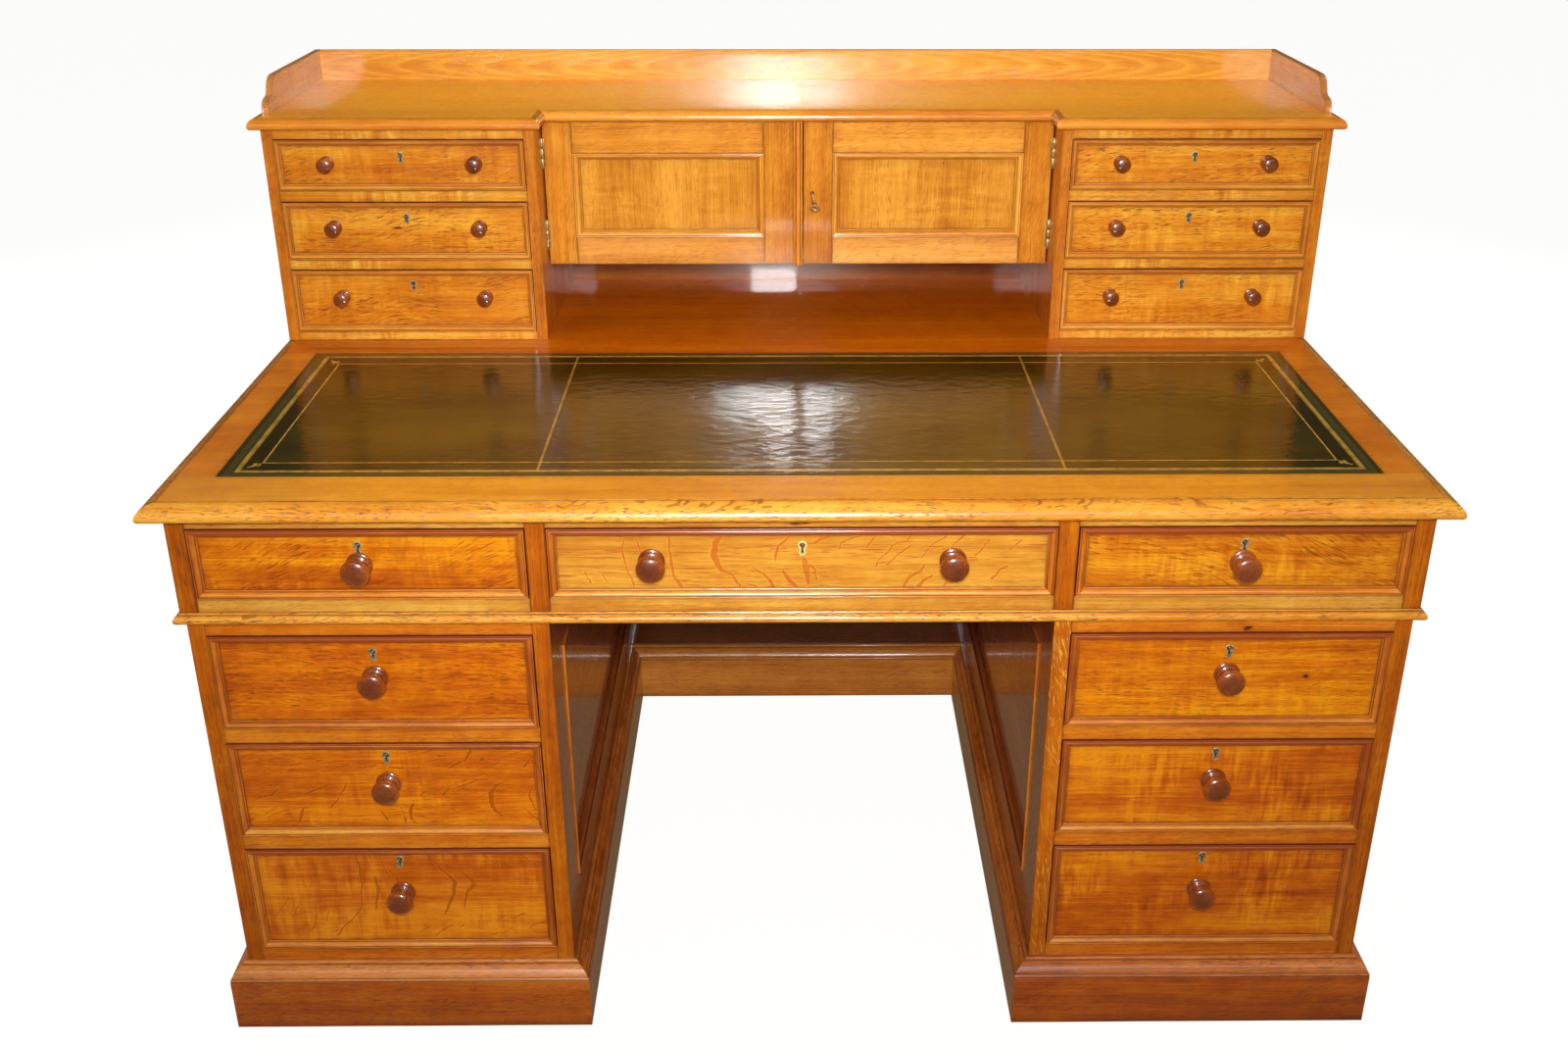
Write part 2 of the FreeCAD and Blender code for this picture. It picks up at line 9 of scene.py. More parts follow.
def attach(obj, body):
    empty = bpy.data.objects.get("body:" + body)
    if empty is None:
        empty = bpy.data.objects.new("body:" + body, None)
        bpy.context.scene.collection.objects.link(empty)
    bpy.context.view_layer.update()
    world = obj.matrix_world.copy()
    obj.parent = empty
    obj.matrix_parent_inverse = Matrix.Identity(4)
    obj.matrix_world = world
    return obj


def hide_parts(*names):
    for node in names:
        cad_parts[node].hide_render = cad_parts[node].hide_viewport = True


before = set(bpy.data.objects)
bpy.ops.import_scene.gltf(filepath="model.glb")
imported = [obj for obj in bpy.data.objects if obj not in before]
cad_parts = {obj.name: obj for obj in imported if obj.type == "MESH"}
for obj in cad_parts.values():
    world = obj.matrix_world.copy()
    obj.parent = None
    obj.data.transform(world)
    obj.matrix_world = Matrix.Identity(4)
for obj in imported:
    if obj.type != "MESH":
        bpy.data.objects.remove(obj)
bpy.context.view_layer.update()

# Pieces are written in millimetres, X right, Z up from the floor and y back
# from the front edge of the writing top; Y_MID brings them to the row frame.
Y_MID = 460.0
rng = random.Random(41)
TAU = 2 * math.pi


# ===================================================================== nodes
class Nodes:
    def __init__(self, name):
        self.mat = bpy.data.materials.new(name)
        self.mat.use_nodes = True
        self.t = self.mat.node_tree
        self.t.nodes.clear()
        self.out = self.t.nodes.new("ShaderNodeOutputMaterial")
        self.bsdf = self.t.nodes.new("ShaderNodeBsdfPrincipled")
        self.t.links.new(self.bsdf.outputs[0], self.out.inputs[0])

    def put(self, sock, value):
        if hasattr(value, "links") and hasattr(value, "is_output"):
            self.t.links.new(value, sock)
        elif isinstance(value, (tuple, list)) and len(value) == 3 and len(sock.default_value) == 4:
            sock.default_value = (*value, 1.0)
        else:
            sock.default_value = value

    def set(self, name, value):
        self.put(self.bsdf.inputs[name], value)

    def attr(self, name, out):
        n = self.t.nodes.new("ShaderNodeAttribute")
        n.attribute_name = name
        return n.outputs[out]

    def coord(self):
        return self.t.nodes.new("ShaderNodeTexCoord").outputs["Object"]

    def m(self, op, a, b=0.0, c=0.0, clamp=False):
        n = self.t.nodes.new("ShaderNodeMath")
        n.operation = op
        n.use_clamp = clamp
        for s, v in zip(n.inputs, (a, b, c)):
            self.put(s, v)
        return n.outputs[0]

    def vm(self, op, a, b=(0, 0, 0), scale=None):
        n = self.t.nodes.new("ShaderNodeVectorMath")
        n.operation = op
        self.put(n.inputs[0], a)
        self.put(n.inputs[1], b)
        if scale is not None:
            self.put(n.inputs[3], scale)
        return n.outputs[0]

    def map(self, v, scale=(1, 1, 1), rot=(0, 0, 0), loc=(0, 0, 0)):
        n = self.t.nodes.new("ShaderNodeMapping")
        self.put(n.inputs[0], v)
        n.inputs["Location"].default_value = loc
        n.inputs["Rotation"].default_value = rot
        n.inputs["Scale"].default_value = scale
        return n.outputs[0]

    def noise(self, v, scale=1.0, detail=3.0, rough=0.5, warp=0.0, out=0):
        n = self.t.nodes.new("ShaderNodeTexNoise")
        self.put(n.inputs["Vector"], v)
        self.put(n.inputs["Scale"], scale)
        n.inputs["Detail"].default_value = detail
        n.inputs["Roughness"].default_value = rough
        n.inputs["Distortion"].default_value = warp
        return n.outputs[out]

    def step(self, v, a, b):
        """0 below a, 1 above b, smooth between (b may be under a)."""
        n = self.t.nodes.new("ShaderNodeMapRange")
        n.interpolation_type = "SMOOTHSTEP"
        self.put(n.inputs[0], v)
        lo, hi, t0, t1 = (a, b, 0.0, 1.0) if a < b else (b, a, 1.0, 0.0)
        n.inputs[1].default_value, n.inputs[2].default_value = lo, hi
        n.inputs[3].default_value, n.inputs[4].default_value = t0, t1
        return n.outputs[0]

    def ramp(self, v, stops):
        n = self.t.nodes.new("ShaderNodeValToRGB")
        self.put(n.inputs[0], v)
        e = n.color_ramp.elements
        while len(e) < len(stops):
            e.new(0.5)
        for k, (p, c) in zip(e, stops):
            k.position = p
            k.color = (*c, 1.0)
        return n.outputs[0]

    def mix(self, f, a, b, mode="MIX"):
        n = self.t.nodes.new("ShaderNodeMix")
        n.data_type = "RGBA"
        n.blend_type = mode
        self.put(n.inputs["Factor"], f)
        self.put(n.inputs[6], a)
        self.put(n.inputs[7], b)
        return n.outputs[2]

    def sep(self, v):
        n = self.t.nodes.new("ShaderNodeSeparateXYZ")
        self.put(n.inputs[0], v)
        return n.outputs

    def join(self, x, y, z):
        n = self.t.nodes.new("ShaderNodeCombineXYZ")
        for s, v in zip(n.inputs, (x, y, z)):
            self.put(s, v)
        return n.outputs[0]

    def bump(self, height, strength, distance=0.001):
        n = self.t.nodes.new("ShaderNodeBump")
        n.inputs["Strength"].default_value = strength
        n.inputs["Distance"].default_value = distance
        self.put(n.inputs["Height"], height)
        self.t.links.new(n.outputs[0], self.bsdf.inputs["Normal"])


def oak(name, pale, mid, deep, dash, ray=0.5, fleck=0.5, pore=0.5, pore_size=1.0,
        rings=0.0, rough=0.3, coat=0.35, coat_rough=0.12, bump=0.25, edge_grime_shade=1.0,
        by_object=None, contrast=1.3, curl=0.0, slant=0.35, marks=None, mark_power=1.0, knots=None,
        ior=1.48):
    """Quarter-sawn oak. The attribute g holds (along, across, through) the
    plank in metres, e the distances to the four edges of the face, tone a
    plank's own shade and grime_and_shade the darkening in the quirks, partly old polish and partly painted shade."""
    n = Nodes(name)
    if by_object:
        g = n.map(n.coord(), (1, 1, 1), by_object)
    else:
        g = n.attr("g", "Vector")
    wob = n.noise(n.map(g, (3.0, 11.0, 11.0)), 1.0, 2.0, 0.5, 0.0, 1)
    wob = n.vm("SUBTRACT", wob, (0.5, 0.5, 0.5))
    gw = n.vm("ADD", g, n.vm("MULTIPLY", wob, (0.010, 0.012, 0.012)))
    broad = n.noise(n.map(gw, (1.8, 11.0, 11.0)), 1.0, 3.0)
    band = n.noise(n.map(gw, (2.4, 60.0, 60.0)), 1.0, 4.0, 0.55, 0.4)
    fine = n.noise(n.map(gw, (11.0, 480.0, 480.0)), 1.0, 3.0, 0.65)
    silk = n.noise(n.map(gw, (30.0, 26.0, 30.0)), 1.0, 4.0, 0.6)
    v = n.m("MULTIPLY", broad, 0.30)
    v = n.m("MULTIPLY_ADD", band, 0.26, v)
    v = n.m("MULTIPLY_ADD", fine, 0.26, v)
    v = n.m("MULTIPLY_ADD", silk, 0.18, v)
    v = n.m("MULTIPLY_ADD", n.m("SUBTRACT", v, 0.5), contrast, 0.5)
    if curl:
        # silvery bars across the grain
        c = n.noise(n.map(g, (95.0, 13.0, 13.0), loc=(1, 4, 6)), 1.0, 3.0, 0.6)
        cw = n.step(n.noise(n.map(g, (8.0, 12.0, 12.0), loc=(6, 1, 2)), 1.0, 1.0), 0.42, 0.60)
        v = n.m("MULTIPLY_ADD", n.m("MULTIPLY", n.m("SUBTRACT", c, 0.45), cw), curl, v)
    if not by_object:
        v = n.m("MULTIPLY_ADD", n.attr("tone", "Fac"), 0.14, v)
    if rings:
        # cathedral figure: nested pointed loops opening along the board
        s = n.sep(gw)
        y = n.m("SUBTRACT", s[1], rings[1])
        f = n.m("MULTIPLY_ADD", n.m("MULTIPLY", y, y), rings[2],
                n.m("MULTIPLY", n.m("ABSOLUTE", n.m("SUBTRACT", s[0], rings[0])), rings[3]))
        f = n.m("ADD", f, n.m("MULTIPLY", broad, 1.4))
        w = n.m("FRACT", f)
        line = n.m("MULTIPLY", n.step(w, 0.0, 0.55), n.step(w, 1.0, 0.86))
        v = n.m("MULTIPLY_ADD", line, -0.12, n.m("ADD", v, 0.035))
    col = n.ramp(v, [(0.30, deep), (0.50, mid), (0.70, pale)])
    # open pores: short dark strokes along the grain, in bands
    ps = pore_size
    p1 = n.noise(n.map(gw, (70.0 / ps, 800.0, 800.0)), 1.0, 1.5, 0.5)
    p2 = n.noise(n.map(gw, (46.0 / ps, 520.0, 520.0), loc=(3, 5, 7)), 1.0, 2.0, 0.5)
    band2 = n.step(n.noise(n.map(gw, (3.0, 70.0, 70.0), loc=(9, 2, 4)), 1.0, 2.0), 0.38, 0.60)
    pores = n.m("MAXIMUM", n.step(p1, 0.58, 0.66), n.step(p2, 0.62, 0.69))
    pores = n.m("MULTIPLY", pores, n.m("MULTIPLY_ADD", band2, 0.75, 0.25))
    col = n.mix(n.m("MULTIPLY", pores, pore), col, dash)
    height = n.m("MULTIPLY", pores, -0.6)
    if fleck:
        # ray flecks cut short: slanting dark strokes with paler ones between
        flow = n.m("SUBTRACT", n.noise(n.map(g, (4.2, 7.0, 7.0), loc=(5, 5, 5)), 1.0, 1.0), 0.5)
        s = n.sep(g)
        u = n.m("ADD", n.m("MULTIPLY_ADD", s[0], -slant, s[1]), n.m("MULTIPLY", flow, 0.085))
        h = n.join(s[0], u, s[2])
        a = n.noise(n.map(h, (66.0, 620.0, 60.0)), 1.0, 1.5, 0.5, 0.3)
        b = n.noise(n.map(h, (48.0, 300.0, 60.0), loc=(5, 1, 3)), 1.0, 2.0, 0.5, 0.5)
        where = n.step(n.noise(n.map(g, (9.0, 17.0, 9.0), loc=(2, 8, 1)), 1.0, 2.0), 0.36, 0.60)
        dark = n.m("MULTIPLY", n.step(a, 0.575, 0.635), n.m("MULTIPLY_ADD", where, 0.8, 0.2))
        lite = n.m("MULTIPLY", n.step(b, 0.56, 0.68), n.m("MULTIPLY_ADD", where, 0.5, 0.5))
        col = n.mix(n.m("MULTIPLY", lite, 0.40 * fleck, 0.0, True), col, pale)
        col = n.mix(n.m("MULTIPLY", dark, 0.75 * fleck, 0.0, True), col, dash)
        height = n.m("MULTIPLY_ADD", dark, -0.4, height)
    if ray:
        # long ribbons of figure wandering across the grain
        q = n.noise(n.map(g, (15.0, 7.0, 6.0), (0, 0, 0.35), (4, 6, 2)), 1.0, 2.5, 0.5, 0.5)
        line = n.m("ABSOLUTE", n.m("SUBTRACT", q, 0.5))
        width = n.m("MULTIPLY_ADD", silk, 0.11, -0.036)
        rib = n.step(n.m("SUBTRACT", width, line), 0.0, 0.008)
        place = n.step(n.noise(n.map(g, (6.5, 14.0, 6.0), loc=(7, 3, 9)), 1.0, 2.0), 0.44, 0.54)
        rib = n.m("MULTIPLY", rib, place)
        col = n.mix(n.m("MULTIPLY", rib, 0.6 * ray, 0.0, True), col, n.mix(0.5, mid, dash))
    if marks:
        # the drawer's own large snaking rays, kept as an attribute of its mesh
        rib = n.attr("rays", "Fac")
        core = n.step(rib, 0.42, 0.62)
        col = n.mix(n.m("MULTIPLY", core, n.m("MULTIPLY_ADD", silk, 0.9 * mark_power, 0.30 * mark_power), 0.0, True),
                    col, marks)
        col = n.mix(n.m("MULTIPLY", n.m("MULTIPLY", n.step(rib, 0.12, 0.3), n.step(rib, 0.5, 0.36)),
                        0.35), col, pale)
    if knots:
        o = n.coord()
        for (x, y, z), size, stretch in knots:
            dv = n.vm("MULTIPLY", n.vm("SUBTRACT", o, (x, y, z)), (1 / stretch, 1.0, 1.0))
            ln = n.t.nodes.new("ShaderNodeVectorMath")
            ln.operation = "LENGTH"
            n.put(ln.inputs[0], dv)
            dd = n.m("ADD", ln.outputs["Value"], n.m("MULTIPLY", n.m("SUBTRACT", silk, 0.5), size))
            col = n.mix(n.m("MULTIPLY", n.step(dd, 2.2 * size, 0.9 * size), 0.45), col, dash)
            col = n.mix(n.m("MULTIPLY", n.step(dd, size, 0.6 * size), 0.95), col, (0.045, 0.014, 0.004))
    # darkening along the face's edges, in its corners and in the quirks: partly old polish and grime, partly painted
    # shade where parts meet
    grime_and_shade = None
    if edge_grime_shade and not by_object:
        e = n.t.nodes.new("ShaderNodeAttribute")
        e.attribute_name = "e"
        s = n.t.nodes.new("ShaderNodeSeparateColor")
        n.t.links.new(e.outputs["Color"], s.inputs[0])
        near = n.m("MINIMUM", n.m("MINIMUM", s.outputs[0], s.outputs[1]),
                   n.m("MINIMUM", s.outputs[2], e.outputs["Alpha"]))
        corner = n.m("ADD", n.m("MINIMUM", s.outputs[0], s.outputs[1]),
                     n.m("MINIMUM", s.outputs[2], e.outputs["Alpha"]))
        rag = n.noise(n.map(g, (60.0, 60.0, 60.0)), 1.0, 3.0)
        d1 = n.step(n.m("ADD", near, n.m("MULTIPLY", rag, 0.004)), 0.0050, 0.0018)
        d2 = n.step(n.m("ADD", corner, n.m("MULTIPLY", rag, 0.02)), 0.034, 0.006)
        # a wide faint band of grime and painted shade along every edge
        wide_grime_shade = n.step(n.m("ADD", near, n.m("MULTIPLY", rag, 0.012)), 0.020, 0.004)
        grime_and_shade = n.m("MAXIMUM", n.m("MULTIPLY", d1, 0.75), n.m("MULTIPLY", d2, 0.45))
        grime_and_shade = n.m("MAXIMUM", grime_and_shade, n.m("MULTIPLY", wide_grime_shade, 0.16))
        grime_and_shade = n.m("MAXIMUM", grime_and_shade, n.attr("grime_and_shade", "Fac"))
        grime_and_shade = n.m("MULTIPLY", grime_and_shade, n.m("MULTIPLY_ADD", rag, 0.6, 0.62), 0.0, True)
        # mix in the dark colour of the grime and painted shade
        col = n.mix(n.m("MULTIPLY", grime_and_shade, edge_grime_shade), col,
                    tuple(0.36 * k for k in deep) if edge_grime_shade < 1.01 else (0.05, 0.017, 0.006))
    n.set("Base Color", col)
    r = n.m("MULTIPLY_ADD", fine, 0.10, rough - 0.05)
    r = n.m("MULTIPLY_ADD", pores, 0.25, r)
    if grime_and_shade is not None:
        r = n.m("MULTIPLY_ADD", grime_and_shade, 0.18, r)
    n.set("Roughness", r)
    n.set("IOR", ior)
    n.set("Coat Weight", coat)
    n.set("Coat Roughness", coat_rough)
    n.set("Coat IOR", 1.5)
    n.bump(n.m("MULTIPLY_ADD", fine, 0.35, height), bump, 0.0005)
    return n.mat


def lin(r, g, b):
    """sRGB bytes to linear."""
    return tuple(((c / 255 + 0.055) / 1.055) ** 2.4 if c > 10 else c / 255 / 12.92
                 for c in (r, g, b))


# ================================================================= materials
DASH = lin(128, 50, 5)
RED = lin(196, 84, 8)
# (x, z, half width) along each big ray of the centre drawer, metres
RAYS = [
    [(-0.0936, 0.7174, 0.0010), (-0.1021, 0.7082, 0.0025), (-0.1041, 0.6934, 0.0027),
     (-0.0994, 0.6804, 0.0023), (-0.0945, 0.6717, 0.0017), (-0.0862, 0.6691, 0.0013)],
    [(-0.0845, 0.6691, 0.0010), (-0.0787, 0.6597, 0.0011), (-0.0731, 0.6513, 0.0008)],
    [(-0.1559, 0.7194, 0.0008), (-0.1548, 0.6917, 0.0011), (-0.1517, 0.6656, 0.0013),
     (-0.1438, 0.6520, 0.0015)],
    [(-0.0646, 0.6539, 0.0008), (-0.0546, 0.6513, 0.0011)],
    [(-0.0610, 0.6765, 0.0004), (-0.0460, 0.6689, 0.0013), (-0.0344, 0.6516, 0.0013)],
    [(-0.0225, 0.6715, 0.0013), (-0.0158, 0.6594, 0.0017), (-0.0074, 0.6507, 0.0017)],
    [(-0.0124, 0.7171, 0.0008), (-0.0274, 0.7061, 0.0011), (-0.0314, 0.6932, 0.0010),
     (-0.0325, 0.6839, 0.0006)],
    [(0.0009, 0.6904, 0.0011), (0.0036, 0.6792, 0.0027), (0.0077, 0.6548, 0.0015)],
    [(0.0070, 0.6792, 0.0013), (0.0144, 0.6747, 0.0011), (0.0175, 0.6593, 0.0008)],
    [(0.0142, 0.7089, 0.0010), (0.0225, 0.7133, 0.0013), (0.0324, 0.7177, 0.0010)],
    [(0.0419, 0.7003, 0.0008), (0.0458, 0.7088, 0.0008), (0.0557, 0.7132, 0.0008),
     (0.0683, 0.7183, 0.0008)],
    [(0.0742, 0.7020, 0.0008), (0.0862, 0.7175, 0.0008)],
    [(0.0874, 0.6759, 0.0008), (0.0896, 0.6853, 0.0008), (0.1020, 0.6975, 0.0010),
     (0.1058, 0.7049, 0.0008), (0.1190, 0.7092, 0.0008), (0.1294, 0.7173, 0.0008)],
    [(0.0991, 0.6789, 0.0008), (0.1167, 0.6963, 0.0010), (0.1264, 0.7055, 0.0008)],
    [(0.1200, 0.6509, 0.0015), (0.1277, 0.6645, 0.0015), (0.1376, 0.6690, 0.0011),
     (0.1440, 0.6787, 0.0010)],
    [(0.1376, 0.6508, 0.0017), (0.1433, 0.6599, 0.0017), (0.1533, 0.6644, 0.0010)],
    [(0.1390, 0.6888, 0.0008), (0.1531, 0.7062, 0.0008), (0.1694, 0.7172, 0.0008)],
    [(0.1743, 0.7016, 0.0008), (0.1886, 0.7182, 0.0008)],
    [(0.1673, 0.6507, 0.0011), (0.1711, 0.6575, 0.0010)],
    [(0.2010, 0.6890, 0.0008), (0.2100, 0.6990, 0.0009), (0.2190, 0.7110, 0.0008)],
    [(0.2240, 0.6600, 0.0010), (0.2330, 0.6720, 0.0010), (0.2420, 0.6770, 0.0008)],
    [(0.2440, 0.6980, 0.0008), (0.2560, 0.7120, 0.0008)],
    [(-0.2070, 0.7185, 0.0006), (-0.2117, 0.7030, 0.0008), (-0.2063, 0.6762, 0.0008),
     (-0.1986, 0.6521, 0.0008)],
    [(-0.1931, 0.7177, 0.0006), (-0.1900, 0.6974, 0.0008), (-0.1877, 0.6881, 0.0006)],
    [(-0.2555, 0.6715, 0.0006), (-0.2503, 0.6565, 0.0008)],
    [(-0.2362, 0.6696, 0.0006), (-0.2294, 0.6564, 0.0006)],
]
# the same for the left pedestal's second and third drawers
RAYS_L2 = [
    [(-0.4111, 0.4269, 0.0012), (-0.4137, 0.4175, 0.0013), (-0.4223, 0.4057, 0.0010)],
    [(-0.4262, 0.4043, 0.0010), (-0.4368, 0.3983, 0.0010), (-0.4435, 0.3939, 0.0008)],
    [(-0.4015, 0.4066, 0.0018), (-0.3979, 0.4081, 0.0018)],
    [(-0.3330, 0.4161, 0.0008), (-0.3413, 0.4043, 0.0010), (-0.3481, 0.3969, 0.0010)],
    [(-0.3762, 0.3745, 0.0008), (-0.3869, 0.3670, 0.0015), (-0.3930, 0.3549, 0.0022),
     (-0.3920, 0.3367, 0.0020), (-0.3876, 0.3291, 0.0012), (-0.3756, 0.3199, 0.0006)],
    [(-0.3389, 0.3700, 0.0007), (-0.3438, 0.3550, 0.0009), (-0.3422, 0.3428, 0.0007),
     (-0.3368, 0.3307, 0.0006)],
    [(-0.3934, 0.3790, 0.0006), (-0.4086, 0.3775, 0.0008), (-0.4217, 0.3715, 0.0007),
     (-0.4347, 0.3669, 0.0007)],
    [(-0.4451, 0.3639, 0.0007), (-0.4536, 0.3548, 0.0008)],
    [(-0.4600, 0.3669, 0.0006), (-0.4680, 0.3624, 0.0008)],
    [(-0.4732, 0.3608, 0.0007), (-0.4813, 0.3563, 0.0008)],
    [(-0.4917, 0.3426, 0.0012), (-0.4965, 0.3334, 0.0017), (-0.4965, 0.3212, 0.0011),
     (-0.4910, 0.3135, 0.0008)],
    [(-0.5326, 0.3302, 0.0008), (-0.5265, 0.3164, 0.0009)],
    [(-0.5082, 0.3425, 0.0005), (-0.5036, 0.3150, 0.0006)],
    [(-0.5965, 0.3695, 0.0008), (-0.6126, 0.3634, 0.0013), (-0.6276, 0.3566, 0.0006)],
    [(-0.5720, 0.3726, 0.0007), (-0.5769, 0.3635, 0.0008), (-0.5830, 0.3559, 0.0007)],
    [(-0.5836, 0.3514, 0.0006), (-0.5956, 0.3376, 0.0009)],
    [(-0.6597, 0.3646, 0.0008), (-0.6700, 0.3555, 0.0013), (-0.6779, 0.3539, 0.0006)],
    [(-0.6302, 0.3374, 0.0008), (-0.6356, 0.3267, 0.0014), (-0.6386, 0.3143, 0.0013)],
    [(-0.6069, 0.4059, 0.0006), (-0.5976, 0.4089, 0.0007)],
    [(-0.6394, 0.3992, 0.0006), (-0.6249, 0.4037, 0.0007)],
    [(-0.5911, 0.3911, 0.0006), (-0.5801, 0.3980, 0.0007)],
    [(-0.5753, 0.3965, 0.0007), (-0.5644, 0.4025, 0.0006)],
    [(-0.5473, 0.3981, 0.0009), (-0.5320, 0.3996, 0.0009)],
    [(-0.5173, 0.3967, 0.0007), (-0.4973, 0.3952, 0.0008)],
    [(-0.4899, 0.3938, 0.0006), (-0.4795, 0.3968, 0.0008)],
    [(-0.4616, 0.4004, 0.0008), (-0.4542, 0.3989, 0.0009)],
    [(-0.4897, 0.4189, 0.0006), (-0.4795, 0.4204, 0.0007)],
    [(-0.4748, 0.4181, 0.0007), (-0.4619, 0.4219, 0.0009)],
    [(-0.4553, 0.4131, 0.0009), (-0.4452, 0.4146, 0.0009)],
    [(-0.4712, 0.4042, 0.0007), (-0.4558, 0.4086, 0.0007)],
    [(-0.5515, 0.3636, 0.0006), (-0.5410, 0.3667, 0.0005)],
    [(-0.3517, 0.3337, 0.0005), (-0.3447, 0.3261, 0.0006), (-0.3353, 0.3153, 0.0006)],
]
RAYS_L3 = [
    [(-0.6261, 0.2647, 0.0004), (-0.6274, 0.2360, 0.0004), (-0.6265, 0.2135, 0.0004)],
    [(-0.5749, 0.2682, 0.0006), (-0.5711, 0.2460, 0.0009), (-0.5724, 0.2107, 0.0007),
     (-0.5770, 0.1781, 0.0009), (-0.5884, 0.1615, 0.0007), (-0.5990, 0.1514, 0.0007),
     (-0.6132, 0.1346, 0.0006)],
    [(-0.5580, 0.2683, 0.0007), (-0.5549, 0.2509, 0.0006)],
    [(-0.5465, 0.2668, 0.0005), (-0.5399, 0.2462, 0.0006), (-0.5330, 0.2271, 0.0006)],
    [(-0.5328, 0.2399, 0.0006), (-0.5238, 0.2271, 0.0007), (-0.5238, 0.2159, 0.0007)],
    [(-0.5526, 0.2269, 0.0012), (-0.5506, 0.2108, 0.0015), (-0.5539, 0.1946, 0.0012),
     (-0.5574, 0.1766, 0.0009)],
    [(-0.5024, 0.2559, 0.0005), (-0.4937, 0.2401, 0.0005), (-0.4852, 0.2225, 0.0005)],
    [(-0.4868, 0.2686, 0.0007), (-0.4720, 0.2497, 0.0008), (-0.4583, 0.2306, 0.0009),
     (-0.4503, 0.2194, 0.0020), (-0.4550, 0.1984, 0.0015), (-0.4635, 0.1788, 0.0011),
     (-0.4686, 0.1672, 0.0008)],
    [(-0.4465, 0.2450, 0.0005), (-0.4374, 0.2323, 0.0008), (-0.4267, 0.2211, 0.0016),
     (-0.4259, 0.2163, 0.0018), (-0.4362, 0.2033, 0.0012), (-0.4425, 0.1789, 0.0007)],
    [(-0.4159, 0.2688, 0.0006), (-0.4041, 0.2563, 0.0007), (-0.3920, 0.2468, 0.0006)],
    [(-0.3935, 0.2594, 0.0005), (-0.3787, 0.2516, 0.0005), (-0.3639, 0.2436, 0.0004)],
    [(-0.3684, 0.2674, 0.0006), (-0.3576, 0.2579, 0.0007), (-0.3430, 0.2469, 0.0006)],
    [(-0.6683, 0.1985, 0.0004), (-0.6742, 0.1854, 0.0005), (-0.6887, 0.1688, 0.0005),
     (-0.6965, 0.1521, 0.0004)],
    [(-0.6587, 0.1823, 0.0006), (-0.6666, 0.1641, 0.0006)],
    [(-0.6348, 0.1726, 0.0005), (-0.6404, 0.1511, 0.0006), (-0.6490, 0.1376, 0.0005)],
    [(-0.6201, 0.1728, 0.0006), (-0.6248, 0.1579, 0.0006)],
    [(-0.3606, 0.1693, 0.0008), (-0.3700, 0.1659, 0.0007), (-0.3824, 0.1593, 0.0006)],
    [(-0.3884, 0.1659, 0.0005), (-0.4024, 0.1559, 0.0005)],
    [(-0.3366, 0.1554, 0.0007), (-0.3501, 0.1511, 0.0008), (-0.3597, 0.1461, 0.0006)],
    [(-0.4610, 0.1507, 0.0007), (-0.4725, 0.1424, 0.0008), (-0.4841, 0.1323, 0.0006)],
    [(-0.4890, 0.1489, 0.0005), (-0.5034, 0.1388, 0.0006)],
    [(-0.3810, 0.1444, 0.0005), (-0.3934, 0.1377, 0.0005)],
    [(-0.4015, 0.1367, 0.0006), (-0.4098, 0.1326, 0.0008)],
    [(-0.4412, 0.1508, 0.0005), (-0.4509, 0.1458, 0.0005)],
]
FIELD = oak("oak_field", lin(244, 161, 16), lin(208, 110, 4), lin(158, 60, 2), DASH,
            ray=0.5, fleck=0.9, pore=0.3, curl=0.45, contrast=1.8)
FIELD_P = oak("oak_field_plain", lin(248, 158, 10), lin(212, 107, 2), lin(158, 60, 2), DASH,
              ray=0.15, fleck=0.9, pore=0.6, curl=0.15, contrast=1.7, slant=-0.05)
FIELD_B = oak("oak_field_frieze", lin(240, 168, 32), lin(204, 116, 10), lin(156, 67, 3), DASH,
              ray=0.2, fleck=1.0, pore=0.25, curl=0.4, contrast=1.7, slant=-0.28)
FIELD_K = oak("oak_field_knotted", lin(246, 164, 10), lin(212, 113, 2), lin(160, 65, 2), DASH,
              ray=0.3, fleck=0.6, pore=0.5, curl=0.25, contrast=1.8, slant=0.0,
              knots=[((0.6162, -0.4299, 0.5233), 0.0026, 1.3)])
FIELD_SOFT = oak("oak_field_mottled", lin(236, 146, 14), lin(202, 98, 5), lin(152, 58, 4), DASH,
                 ray=0.0, fleck=0.3, pore=0.35, curl=0.8, contrast=1.9, slant=0.05)
FIELD_UP = oak("oak_field_upper", lin(248, 180, 56), lin(218, 130, 22), lin(178, 86, 6), DASH,
               ray=0.35, fleck=0.95, pore=0.3, curl=0.35, slant=0.12, contrast=1.35)
FIELD_UP_K = oak("oak_field_upper_dented", lin(248, 180, 56), lin(218, 130, 22), lin(178, 86, 6), DASH,
                 ray=0.35, fleck=0.95, pore=0.3, curl=0.35, slant=0.12, contrast=1.35,
                 knots=[((-0.5748, 0.1425, 0.9340), 0.0015, 4.0)])
CENTRE = oak("oak_centre_drawer", lin(240, 185, 70), lin(217, 153, 47), lin(187, 114, 23),
             lin(182, 84, 8), ray=0.0, fleck=0.3, pore=0.95, pore_size=2.2, slant=0.0,
             marks=lin(192, 88, 14), mark_power=0.9, contrast=1.6)
RAYED = oak("oak_rayed_drawer", lin(248, 158, 14), lin(214, 108, 3), lin(164, 64, 3), DASH,
            ray=0.0, fleck=0.55, pore=0.35, slant=0.2, marks=lin(158, 66, 5), mark_power=0.85, curl=0.5, contrast=1.7)
